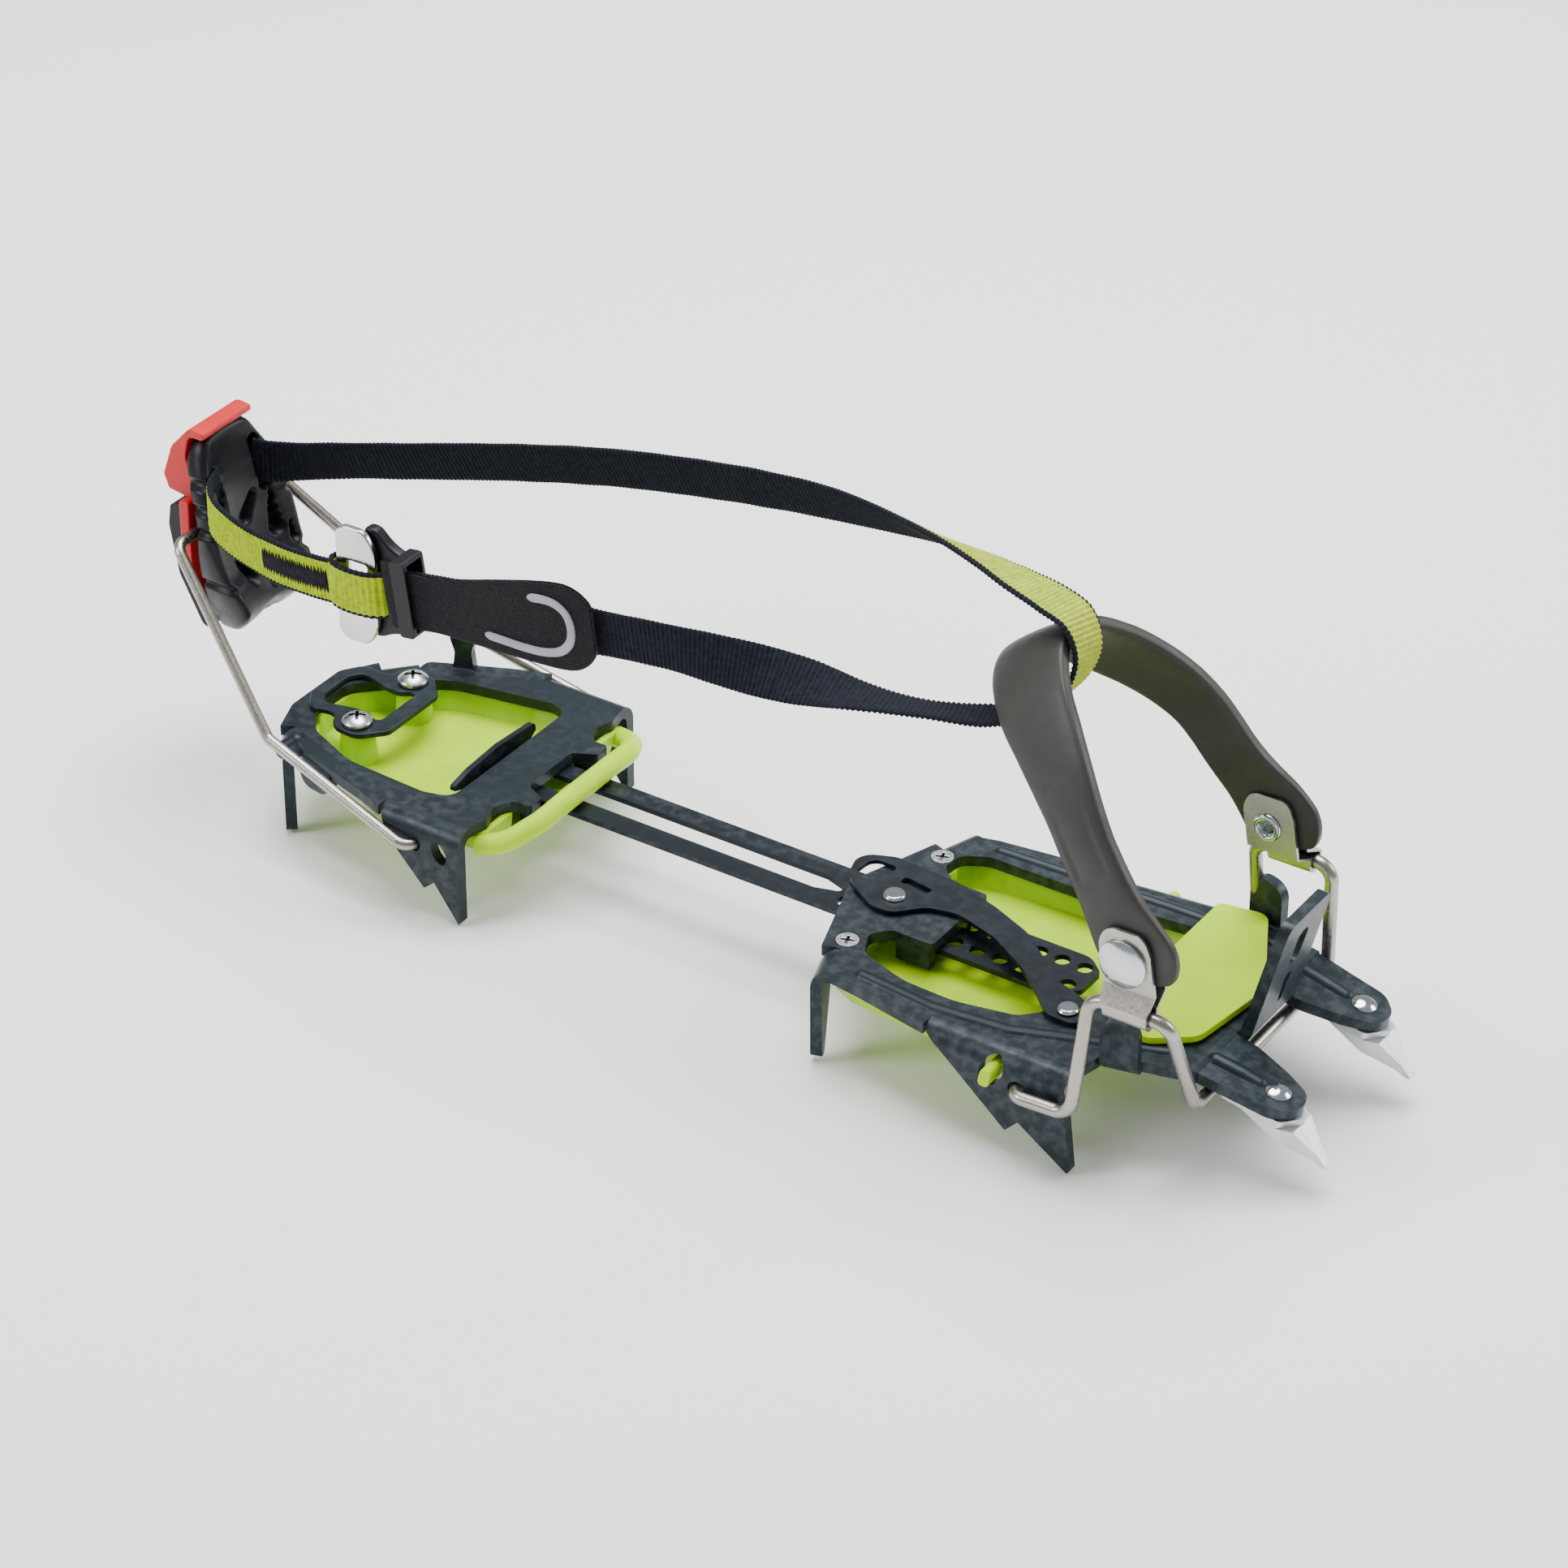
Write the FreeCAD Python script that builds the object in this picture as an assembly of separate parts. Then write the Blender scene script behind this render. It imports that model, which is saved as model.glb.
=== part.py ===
import FreeCAD, Part
import math
import os
from FreeCAD import Vector

# A strap-on ski-mountaineering crampon for the right foot, in millimetres.
# It is laid out from a datum in the front plate: X forward to the toe, Y to the left, Z up,
# zero midway between the two rear screws of the front plate, on the top of its deck.
# On export everything moves so that the origin is at the bottom centre of the whole object.
ORIGIN_FROM_DATUM = Vector(45.7, -0.7, 27.0)

# Driving dimensions
DECK = 3.0                  # front and rear plate thickness
BEND = 5.0                  # outer radius of the bends in both plates
POINT_LENGTH = 27.0         # deck top to the tips of the points
TOE_CENTRE_Y = 7.5          # the toe end curves this far to the left
FRONT_SCREW_Y = 21.8
REAR_SCREW_X = -157.2
REAR_SCREW_Y = 12.0
BAR_WIDTH = 17.7
BAR_TOP_Z = -3.4
BAR_THICKNESS = 1.5
BAR_REAR_X = -120.4
BAR_NOSE_X = 56.0           # clears the front wall of the tray by one hole's travel
HOLE_PITCH = 6.4
HOLE_ROW_Y = 4.1
HOLE_DIAMETER = 4.2
HOLE_FIRST_X = -12.1
HOLE_PAIRS = 11
PEG_RADIUS = 1.45           # the lock pegs that drop into one pair of holes
RAIL_GAP = 6.4
TOE_WIRE = 3.5
HEEL_WIRE = 3.0
TOE_PIVOT = Vector(60.5, 0, -8.4)
HEEL_PIVOT = Vector(-119.6, 0, -7.2)
LEVER_PIVOT = Vector(-206.15, 0, 43.5)
STRAP_SLOT_Y = (6.4, 9.6)
STRAP_SLOT_Z = {-1: (45.8, 61.0), 1: (48.0, 63.6)}
SNAP = Vector(85.8, 0, 36.0)
WEBBING_WIDTH = 12.5
WEBBING_THICKNESS = 1.5

X_AXIS = Vector(1, 0, 0)
Y_AXIS = Vector(0, 1, 0)
Z_AXIS = Vector(0, 0, 1)
NO_MOVE = Vector(0, 0, 0)

os.makedirs("parts", exist_ok=True)


def export(name, shape):
    """Move a finished piece from the datum to the object's origin and write it."""
    placed = shape.copy()
    placed.translate(ORIGIN_FROM_DATUM)
    placed.exportStep("parts/%s.step" % name)
    box = placed.BoundBox
    solids = placed.Solids
    print("%-28s solids %d valid %s volume %8.0f  x %7.1f %7.1f  y %6.1f %6.1f  z %6.1f %6.1f" % (
        name, len(solids), placed.isValid(), placed.Volume,
        box.XMin, box.XMax, box.YMin, box.YMax, box.ZMin, box.ZMax))


# ---- outlines, plates and tubes ----

def outline(points):
    """Closed wire in the XY plane. A point is (x, y) or (x, y, corner radius)."""
    corners = [Vector(point[0], point[1], 0) for point in points]
    radii = [point[2] if len(point) > 2 else 0 for point in points]
    count = len(corners)
    arrivals, departures, middles = [], [], []
    for index in range(count):
        here = corners[index]
        back = corners[index - 1] - here
        ahead = corners[(index + 1) % count] - here
        longest_reach = 0.49 * min(back.Length, ahead.Length)
        back.normalize()
        ahead.normalize()
        half_angle = 0.5 * math.acos(max(-1.0, min(1.0, back.dot(ahead))))
        if radii[index] == 0 or half_angle > math.radians(89.5):
            arrivals.append(here)
            departures.append(here)
            middles.append(None)
            continue
        reach = min(radii[index] / math.tan(half_angle), longest_reach)
        radius = reach * math.tan(half_angle)
        inward = back + ahead
        inward.normalize()
        centre = here + inward * (radius / math.sin(half_angle))
        arrivals.append(here + back * reach)
        departures.append(here + ahead * reach)
        middles.append(centre - inward * radius)
    edges = []
    for index in range(count):
        if middles[index] is not None:
            arc = Part.Arc(arrivals[index], middles[index], departures[index])
            edges.append(arc.toShape())
        following = arrivals[(index + 1) % count]
        if (following - departures[index]).Length > 1e-6:
            edges.append(Part.LineSegment(departures[index], following).toShape())
    return Part.Wire(edges)


def slab(points, bottom, thickness):
    """Flat plate with a vertical edge."""
    shape = Part.Face(outline(points)).extrude(Vector(0, 0, thickness))
    shape.translate(Vector(0, 0, bottom))
    return shape


def across(points, y_from, y_to):
    """Plate whose outline is given in X and Z, standing between two values of Y."""
    shape = Part.Face(outline(points)).extrude(Vector(0, 0, y_to - y_from))
    shape.rotate(NO_MOVE, X_AXIS, 90)
    shape.translate(Vector(0, y_to, 0))
    return shape


def along(points, x_from, x_to):
    """Plate whose outline is given in Y and Z, standing between two values of X."""
    shape = Part.Face(outline(points)).extrude(Vector(0, 0, x_to - x_from))
    shape.rotate(NO_MOVE, Vector(1, 1, 1), 120)
    shape.translate(Vector(x_from, 0, 0))
    return shape


def rod(start, end, radius, end_radius=None):
    """Cylinder or cone between two points."""
    axis = end - start
    if end_radius is None or end_radius == radius:
        return Part.makeCylinder(radius, axis.Length, start, axis)
    return Part.makeCone(radius, end_radius, axis.Length, start, axis)


def tube_path(points, bend_radius):
    """Open path of straight runs joined by tangent arcs."""
    edges = []
    last = points[0]
    for index in range(1, len(points) - 1):
        here = points[index]
        back = points[index - 1] - here
        ahead = points[index + 1] - here
        shorter = min(back.Length, ahead.Length)
        back.normalize()
        ahead.normalize()
        half_angle = 0.5 * math.acos(max(-1.0, min(1.0, back.dot(ahead))))
        reach = min(bend_radius / math.tan(half_angle), 0.48 * shorter)
        radius = reach * math.tan(half_angle)
        inward = back + ahead
        inward.normalize()
        centre = here + inward * (radius / math.sin(half_angle))
        arrive = here + back * reach
        leave = here + ahead * reach
        edges.append(Part.LineSegment(last, arrive).toShape())
        edges.append(Part.Arc(arrive, centre - inward * radius, leave).toShape())
        last = leave
    edges.append(Part.LineSegment(last, points[-1]).toShape())
    return Part.Wire(edges)


def wire_form(points, diameter, bend_radius):
    """Round wire bent along a list of points."""
    path = tube_path(points, bend_radius)
    start_direction = points[1] - points[0]
    circle = Part.makeCircle(diameter / 2, points[0], start_direction)
    return path.makePipeShell([Part.Wire(circle)], True, True)


def bead(points, radius):
    """Pressed stiffening bead: a round-ended half-sunk rod along straight runs."""
    shape = Part.makeSphere(radius, points[0])
    for start, end in zip(points, points[1:]):
        shape = shape.fuse(rod(start, end, radius)).fuse(Part.makeSphere(radius, end))
    return shape


def bent_tab(start, end, points, up=False, angle=90.0, reach=45.0, thickness=DECK, bend=BEND):
    """Tab bent out of a plate along the line start to end, which lies on the tab's outer face.

    The outline is (distance along the line, height from the deck top). The outward side is on the
    right of the direction of travel.
    """
    inner = bend - thickness
    turn = math.radians(angle)
    normal_end = Vector(math.cos(math.pi / 2 - turn), math.sin(math.pi / 2 - turn), 0)
    normal_middle = Vector(math.cos(math.pi / 2 - turn / 2), math.sin(math.pi / 2 - turn / 2), 0)
    hinge = Vector(-bend, -bend, 0)
    travel = Vector(math.cos(turn), -math.sin(turn), 0) * reach
    strip = Vector(-1.0, 0, 0)
    top = hinge + Vector(0, bend, 0)
    under = hinge + Vector(0, inner, 0)
    outer_end = hinge + normal_end * bend
    inner_end = hinge + normal_end * inner
    profile = Part.Wire([
        Part.LineSegment(top + strip, top).toShape(),
        Part.Arc(top, hinge + normal_middle * bend, outer_end).toShape(),
        Part.LineSegment(outer_end, outer_end + travel).toShape(),
        Part.LineSegment(outer_end + travel, inner_end + travel).toShape(),
        Part.LineSegment(inner_end + travel, inner_end).toShape(),
        Part.Arc(inner_end, hinge + normal_middle * inner, under).toShape(),
        Part.LineSegment(under, under + strip).toShape(),
        Part.LineSegment(under + strip, top + strip).toShape(),
    ])
    width = (end - start).Length
    # The profile is drawn as (outward, up) and runs along the fold.
    sheet = Part.Face(profile).extrude(Vector(0, 0, width + 40))
    sheet.translate(Vector(0, 0, -20))
    sheet.rotate(NO_MOVE, Vector(1, 1, 1), 120)
    # Now the fold runs along X, outward is Y and up is Z.
    window = across(points, -60, 60)
    tab = sheet.common(window)
    if up:
        tab = tab.mirror(Vector(0, 0, -thickness / 2), Z_AXIS)
    direction = end - start
    heading = math.degrees(math.atan2(direction.y, direction.x))
    tab = tab.mirror(NO_MOVE, Y_AXIS)
    tab.rotate(NO_MOVE, Z_AXIS, heading)
    tab.translate(start)
    return tab


def mirrored(points, centre):
    """The same outline on the other side of a lengthwise line."""
    flipped = [(point[0], 2 * centre - point[1]) + tuple(point[2:]) for point in points]
    return list(reversed(flipped))


def oval_hole(x, z, long_radius, short_radius, tilt, y_from, y_to):
    """Elliptical cutter through a side flange."""
    ellipse = Part.Ellipse(Vector(0, 0, 0), long_radius, short_radius)
    face = Part.Face(Part.Wire(ellipse.toShape()))
    cutter = face.extrude(Vector(0, 0, y_to - y_from))
    cutter.rotate(NO_MOVE, Z_AXIS, 90 + tilt)
    cutter.rotate(NO_MOVE, X_AXIS, 90)
    cutter.translate(Vector(x, y_to, z))
    return cutter


# ---- front plate ----

RIGHT_FLANGE_Y = -42.0
FLANGE_REAR_X = 34.0
FLANGE_FRONT_X = 74.0
LEFT_EDGE_SLOPE = 0.111
LEFT_EDGE_AT_ZERO = 35.9


def left_edge(x):
    """Y of the outer face of the straight left side of the front plate."""
    return LEFT_EDGE_AT_ZERO + LEFT_EDGE_SLOPE * x


REAR_POINT_RIGHT = (Vector(-3.9, -27.4, 0), Vector(-0.4, -37.8, 0))
REAR_POINT_LEFT = (Vector(-0.9, 36.0, 0), Vector(-4.4, 25.6, 0))


def inset(point, start, end, distance):
    """A point moved to the left of the direction start to end."""
    direction = end - start
    direction.normalize()
    return point + Vector(-direction.y, direction.x, 0) * distance


def front_deck():
    """Flat deck of the front plate with its windows and screw holes."""
    right_in = [inset(point, *REAR_POINT_RIGHT, BEND) for point in REAR_POINT_RIGHT]
    left_in = [inset(point, *REAR_POINT_LEFT, BEND) for point in REAR_POINT_LEFT]
    edge = [
        (-13.2, 0.0, 6), (REAR_POINT_RIGHT[0].x, REAR_POINT_RIGHT[0].y),
        (right_in[0].x, right_in[0].y), (right_in[1].x, right_in[1].y),
        (12, -37.2, 10), (FLANGE_REAR_X, RIGHT_FLANGE_Y + 0.6),
        (FLANGE_REAR_X, RIGHT_FLANGE_Y + BEND), (FLANGE_FRONT_X, RIGHT_FLANGE_Y + BEND),
        (76.2, -27.5, 2), (90, -24.6, 10), (98, -22.4), (98, TOE_CENTRE_Y + 30.0),
        (90, 39.0, 10), (76.5, 40.6, 2),
        (FLANGE_FRONT_X, left_edge(FLANGE_FRONT_X) - BEND),
        (FLANGE_REAR_X, left_edge(FLANGE_REAR_X) - BEND),
        (FLANGE_REAR_X, left_edge(FLANGE_REAR_X) - 0.6), (8, left_edge(8) - 1.2, 4),
        (left_in[0].x, left_in[0].y), (left_in[1].x, left_in[1].y),
        (REAR_POINT_LEFT[1].x, REAR_POINT_LEFT[1].y),
    ]
    deck = slab(edge, -DECK, DECK)
    window = [
        (3.0, -17.0, 3), (7.0, -12.4, 3), (18.5, -12.4, 1), (18.5, 13.4, 1), (8, 13.8, 3),
        (3.0, 18.0, 3), (3.6, 24.5, 4), (10, 28.0, 5), (55, 28.2), (72, 30.0, 2.5), (72, -3, 3),
        (66, -10, 5), (57.5, -18.5, 5), (51, -26, 6), (35, -29.4, 25), (20, -28.8, 25), (6.3, -24.2, 5),
    ]
    deck = deck.cut(slab(window, -10, 20))
    for y in (-FRONT_SCREW_Y, FRONT_SCREW_Y):
        deck = deck.cut(rod(Vector(0, y, -10), Vector(0, y, 10), 1.6))
        deck = deck.cut(rod(Vector(0, y, 0), Vector(0, y, -1.7), 3.2, 1.5))
    for peg in tongue_hole_positions():
        deck = deck.cut(rod(peg - Z_AXIS * 10, peg + Z_AXIS * 10, PEG_RADIUS + 0.25))
    return deck


def tongue_hole_positions():
    """The lock pegs pass through the deck here into a pair of holes in the bar."""
    peg_x = HOLE_FIRST_X + 2 * HOLE_PITCH
    return [Vector(peg_x, -HOLE_ROW_Y, 0), Vector(peg_x, HOLE_ROW_Y, 0)]


def side_point_outline(rear_x):
    """Side flange with a barb behind the main point, as distance along the fold and height."""
    profile = [
        (34.0, 2.0), (34.0, -1.6, 2), (39.5, -5.6, 6), (57.7, -21.3), (61.2, -17.6), (75.0, -POINT_LENGTH), (75.6, -26.4, 0.5),
        (73.6, -9.0, 4), (71.6, -6.5, 3), (72.6, -3.6, 3), (75.0, 0.0, 2), (74.5, 2.0),
    ]
    return [(point[0] - rear_x,) + tuple(point[1:]) for point in profile]


def front_plate():
    plate = front_deck()
    # Side flanges: the right one runs straight forward, the left one follows its slanting edge.
    rear, front = FLANGE_REAR_X, FLANGE_FRONT_X
    right = bent_tab(Vector(rear, RIGHT_FLANGE_Y, 0), Vector(front, RIGHT_FLANGE_Y, 0),
                     side_point_outline(rear))
    left_start = Vector(front, left_edge(front), 0)
    left_end = Vector(rear, left_edge(rear), 0)
    left_length = (left_end - left_start).Length
    left_outline = [(left_length - point[0],) + tuple(point[1:]) for point in side_point_outline(rear)]
    left = bent_tab(left_start, left_end, left_outline)
    plate = plate.fuse([right, left])
    for y_from, y_to in ((-50, -30), (30, 55)):
        plate = plate.cut(rod(Vector(60.5, y_from, -8.4), Vector(60.5, y_to, -8.4), TOE_WIRE / 2 + 0.6))
        plate = plate.cut(oval_hole(53.4, -5.6, 4.6, 3.0, -25, y_from, y_to))
    # Rear corner points hang from the slanting rear edge.
    for start, end, widest in (REAR_POINT_RIGHT + (1,), REAR_POINT_LEFT + (0,)):
        width = (end - start).Length
        tip = width - 3.0 if widest else 3.0
        points = [(0, 2), (width, 2)]
        if widest:
            points += [(width, -8), (width - 0.5, -POINT_LENGTH + 1, 1), (tip, -POINT_LENGTH + 1, 1), (2.0, -8, 4)]
        else:
            points += [(width - 2.0, -8, 4), (tip, -POINT_LENGTH + 1, 1), (0.5, -POINT_LENGTH + 1, 1), (0, -8)]
        plate = plate.fuse(bent_tab(start, end, points))
    # Rounded lugs bent up beside the toe bail.
    lug = [(0, 0.5), (9.5, 0.5), (9.5, -14.5, 4.5), (0.0, -16.0, 4.5)]
    plate = plate.fuse(bent_tab(Vector(76.6, -31.5, 0), Vector(86.0, -29.6, 0), lug, up=True, bend=4.0))
    left_lug = [(9.5 - point[0],) + tuple(point[1:]) for point in lug]
    plate = plate.fuse(bent_tab(Vector(86.0, 43.2, 0), Vector(76.6, 44.4, 0), left_lug, up=True, bend=4.0))
    # Upright tongue between the front arms, leaning forward, with two slots.
    tongue = bent_tab(Vector(102.0, TOE_CENTRE_Y - 10.5, 0), Vector(102.0, TOE_CENTRE_Y + 10.5, 0),
                      [(0, 1), (21, 1), (21, -37, 3), (0, -37, 3)], up=True, angle=76.0)
    tongue = tongue.cut(along([(TOE_CENTRE_Y - 2.2, 17.5, 2), (TOE_CENTRE_Y + 2.2, 17.5, 2),
                               (TOE_CENTRE_Y + 2.6, 28, 2.4), (TOE_CENTRE_Y - 2.6, 28, 2.4)], 90, 125))
    tongue = tongue.cut(along([(TOE_CENTRE_Y - 0.8, 5, 0.7), (TOE_CENTRE_Y + 0.8, 5, 0.7),
                               (TOE_CENTRE_Y + 1.8, 14, 1.2), (TOE_CENTRE_Y - 1.8, 14, 1.2)], 90, 125))
    plate = plate.fuse(tongue)
    for side in (-1, 1):
        plate = plate.fuse(front_arm(side))
    # Claws that guide the link bar from below, under the rear tongue of the deck.
    for side in (-1, 1):
        wall = slab([(8, side * 9.2), (17.5, side * 9.2), (17.5, side * 12.2), (8, side * 12.2)], -8, 8)
        foot = slab([(8, side * 7.0), (17.5, side * 7.0), (17.5, side * 12.2), (8, side * 12.2)], -7.6, 2.3)
        plate = plate.fuse([wall, foot])
    # Pressed beads along both sides.
    bead_depth = 1.3
    plate = plate.fuse(bead([Vector(11, -32.2, -bead_depth), Vector(32, -34.2, -bead_depth),
                             Vector(52, -32.0, -bead_depth), Vector(88, -18.5, -bead_depth)], 2.2))
    plate = plate.fuse(bead([Vector(11, 32.2, -bead_depth), Vector(60, 34.2, -bead_depth),
                             Vector(88, 34.5, -bead_depth)], 2.2))
    return plate.removeSplitter()


ARM_DROP = 11.5             # degrees that the front arms slope down
ARM_START_X = 97.0


def tilt_arm(shape):
    """Slope a flat piece down about the root of the arms."""
    shape.rotate(Vector(ARM_START_X, 0, 0), Y_AXIS, ARM_DROP)
    return shape


def front_arm(side):
    """Curved arm that carries one steel tip. side is -1 on the right and 1 on the left."""
    centre = TOE_CENTRE_Y
    points = [
        (96, 10.6), (104, 11.0, 10), (114, 13.8, 8), (121.5, 17.0, 5), (123, 23, 5),
        (118, 28.0, 6), (107, 28.8, 12), (96, 29.8),
    ]
    points = [(point[0], centre + side * point[1]) + tuple(point[2:]) for point in points]
    arm = slab(points, -DECK, DECK)
    ridge = bead([Vector(99, centre + side * 22, -1.1), Vector(106, centre + side * 21.5, -1.1),
                  Vector(110.5, centre + side * 21.4, -1.4)], 2.4)
    ridge = ridge.common(Part.makeBox(60, 120, 6, Vector(90, -60, -DECK)))
    hole = rod(Vector(115.6, centre + side * 21.3, -9), Vector(115.6, centre + side * 21.3, 5), 2.1)
    return tilt_arm(arm.fuse(ridge).cut(hole))


def point_tip(side):
    """Steel V-shaped tip under the end of an arm."""
    centre = TOE_CENTRE_Y + side * 21.3
    leg = 2.0
    flat = slab([(103, centre - 6.0, 2), (120, centre - 6.0, 2), (124, centre, 0.5),
                 (120, centre + 6.0, 2), (103, centre + 6.0, 2)], -DECK - 0.1 - leg, leg)
    blade = across([(104, -5.1), (123.6, -5.1), (133, -12.6, 0.3), (131.6, -13.0, 0.3),
                    (112, -8.2, 3)], centre - 1.5, centre + 1.5)
    wing = across([(110, -5.1), (123.5, -5.1), (132.9, -12.6, 0.2), (131.9, -12.9, 0.2)], -10, 10)
    wedge = slab([(104, centre - 6.0), (120, centre - 6.0), (133.2, centre), (120, centre + 6.0),
                  (104, centre + 6.0)], -14, 12)
    wing.translate(Vector(0, centre, 0))
    nose = wing.common(wedge)
    tip = flat.fuse(blade).fuse(nose)
    tip = tip.cut(rod(Vector(115.6, centre, -14), Vector(115.6, centre, 5), 2.1))
    return tilt_arm(tip).removeSplitter()


def tip_rivets():
    rivets = []
    for side in (-1, 1):
        centre = TOE_CENTRE_Y + side * 21.3
        shank = rod(Vector(115.6, centre, -9.0), Vector(115.6, centre, 0.1), 2.05)
        head = Part.makeSphere(5.2, Vector(115.6, centre, -3.9))
        head = head.common(Part.makeBox(12, 12, 3, Vector(109.6, centre - 6, 0.05)))
        rivets.append(tilt_arm(shank.fuse(head)))
    return Part.makeCompound(rivets)


def countersunk_screw(x, y):
    """Cross-head countersunk screw flush with the deck top."""
    head = rod(Vector(x, y, 0.0), Vector(x, y, -1.6), 3.0, 1.45)
    shank = rod(Vector(x, y, -1.6), Vector(x, y, -9.0), 1.45)
    screw = head.fuse(shank)
    for turn in (20, 110):
        slot = Part.makeBox(3.4, 0.7, 1.0, Vector(-1.7, -0.35, -0.9))
        slot.rotate(NO_MOVE, Z_AXIS, turn)
        slot.translate(Vector(x, y, 0))
        screw = screw.cut(slot)
    return screw


# ---- front anti-balling plate ----

def front_anti_balling_plate():
    """Flexible tray under the deck whose front end wraps up over the front of the deck."""
    floor_z, wall, top_z = -11.0, 1.8, -DECK - 0.1
    rim = [(-2, -30, 4), (6, -34.0, 6), (32, -36.0, 6), (60, -35.0, 6), (72, -24, 6), (72, 36, 4),
           (60, 38, 4), (12, 33, 6), (1, 29, 4), (-3, 14, 3), (-3, -14, 3)]
    floor_rim = [(point[0] * 0.97 + 1.0, point[1] * 0.9 + 0.2, point[2]) for point in rim]
    outer = Part.makeLoft([moved(outline(floor_rim), floor_z), moved(outline(rim), top_z)], True, True)
    inner_rim = [(point[0] * 0.93 + 2.6, point[1] * 0.945 + 0.1, point[2]) for point in rim]
    inner_floor = [(point[0] * 0.90 + 3.4, point[1] * 0.84 + 0.3, point[2]) for point in rim]
    inner = Part.makeLoft([moved(outline(inner_floor), floor_z + wall),
                           moved(outline(inner_rim), top_z + 0.1)], True, True)
    tray = outer.cut(inner)
    # The link bar enters over the rear wall.
    tray = tray.cut(Part.makeBox(24, 26, 8, Vector(-16, -13, -8.4)))
    for y in (-FRONT_SCREW_Y, FRONT_SCREW_Y):
        post = rod(Vector(0, y, floor_z + 0.5), Vector(0, y, top_z), 4.0)
        tray = tray.fuse(post)
        tray = tray.cut(rod(Vector(0, y, floor_z - 1), Vector(0, y, 5), 1.5))
    # Front wall, hood over the front of the deck and its turned-down nose.
    front_wall = slab([(69.4, -2.5, 2), (71.7, -2.5), (71.7, 29.4), (69.4, 29.4, 2)], floor_z + 0.4, 12.6)
    hood = slab([(69.4, 38.6, 2), (82.0, 40.6, 4), (93.6, 18.5, 3), (96.0, 8, 6), (93.0, -13, 6),
                 (83, -20.5, 5), (69.4, -17.5, 5)], 1.1, 1.8)
    hood_inner = slab([(73, 33.5), (81, 33.5), (94, -2), (90, -12), (73, -12)], 0.2, 0.95)
    tray = tray.fuse([front_wall, hood, hood_inner])
    # Side pegs through the oval holes of the flanges.
    for peg_y, body_y, sign in ((-45.0, -33.0, -1), (45.2, 34.5, 1)):
        low, high = sorted((peg_y, body_y))
        peg = across([(51.4, -8.4, 1.2), (54.4, -8.4, 1.2), (55.4, -3.6, 1.2), (52.4, -3.6, 1.2)], low, high)
        tray = tray.fuse(peg)
    return tray.removeSplitter()


def moved(shape, z):
    lifted = shape.copy()
    lifted.translate(Vector(0, 0, z))
    return lifted


# ---- link bar and lock ----

def link_bar():
    """Punched steel bar that joins both sections, hooked behind the rear plate by its T end."""
    half = BAR_WIDTH / 2
    bottom = BAR_TOP_Z - BAR_THICKNESS
    bar = slab([(BAR_REAR_X, -half), (BAR_NOSE_X - 5, -half, 6), (BAR_NOSE_X, -4.5, 2), (BAR_NOSE_X, 4.5, 2),
                (BAR_NOSE_X - 5, half, 6), (BAR_REAR_X, half)], bottom, BAR_THICKNESS)
    gap = RAIL_GAP / 2
    slot = slab([(-112, -gap, 3), (-22, -gap), (-15.5, -1.2, 1), (-15.5, 1.2, 1), (-22, gap), (-112, gap, 3)],
                bottom - 1, 4)
    bar = bar.cut(slot)
    for pair in range(HOLE_PAIRS):
        x = HOLE_FIRST_X + pair * HOLE_PITCH
        for y in (-HOLE_ROW_Y, HOLE_ROW_Y):
            bar = bar.cut(rod(Vector(x, y, -8), Vector(x, y, 0), HOLE_DIAMETER / 2))
    # T end: an upturned flange wider than the plate's opening.
    flange = along([(-20.5, 0.2, 2), (-20.5, -1.2), (-8.85, -4.9), (8.85, -4.9), (14.5, -1.2),
                    (14.5, 1.2, 1.5), (-1, 2.4, 3), (-14, 1.6, 3)], BAR_REAR_X - 0.8, BAR_REAR_X + 0.8)
    return bar.fuse(flange).removeSplitter()


LOCK_PIVOT = Vector(61.0, -19.5, 0.0)


def lock_leaf():
    """Leaf spring on the deck: finger loop at the rear, long curved arm to its front rivet."""
    edge = [
        (-14.5, 1.0, 3), (-9.5, -3.8, 4), (-2.5, -8.0, 5), (3.5, -8.2, 5), (10.0, -1.2, 6), (18, 0.6, 8),
        (30, -3.0, 15), (42, -10.0, 10), (51, -17.5, 8), (57.0, -23.4, 5), (66, -23.6, 5), (67.5, -17.0, 5),
        (60, -12.5, 5), (52, -10.0, 8), (45, -3.8, 8), (36, 3.2, 12), (24, 8.2, 12), (10, 12.4, 15),
        (-8, 13.4, 5), (-17, 9.6, 6),
    ]
    leaf = slab(edge, 0.35, 1.2)
    loop = slab([(-13.4, 2.0, 2), (-8.5, 0.6, 2.5), (-5.6, 6.0, 2), (-5.4, 9.8, 1.5), (-12.6, 9.6, 3)], -1, 5)
    slot = slab([(-1.6, 4.6, 1), (6.6, 3.4, 1), (7.2, 6.0, 1), (-1.6, 7.2, 1)], -1, 5)
    leaf = leaf.cut(loop.fuse(slot))
    leaf = leaf.cut(rod(LOCK_PIVOT - Z_AXIS, LOCK_PIVOT + Z_AXIS * 4, 1.7))
    return leaf


def lock_pegs():
    """Rivet plate on the leaf whose two pegs drop through the deck into the bar."""
    head = rod(Vector(0.7, -1.6, 1.6), Vector(0.7, -1.6, 2.6), 3.1, 2.5)
    pegs = [rod(Vector(at.x, at.y, BAR_TOP_Z - 1.3), Vector(at.x, at.y, 0.3), PEG_RADIUS)
            for at in tongue_hole_positions()]
    return Part.makeCompound([head] + pegs)


# ---- toe bail, clips and band ----

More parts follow.
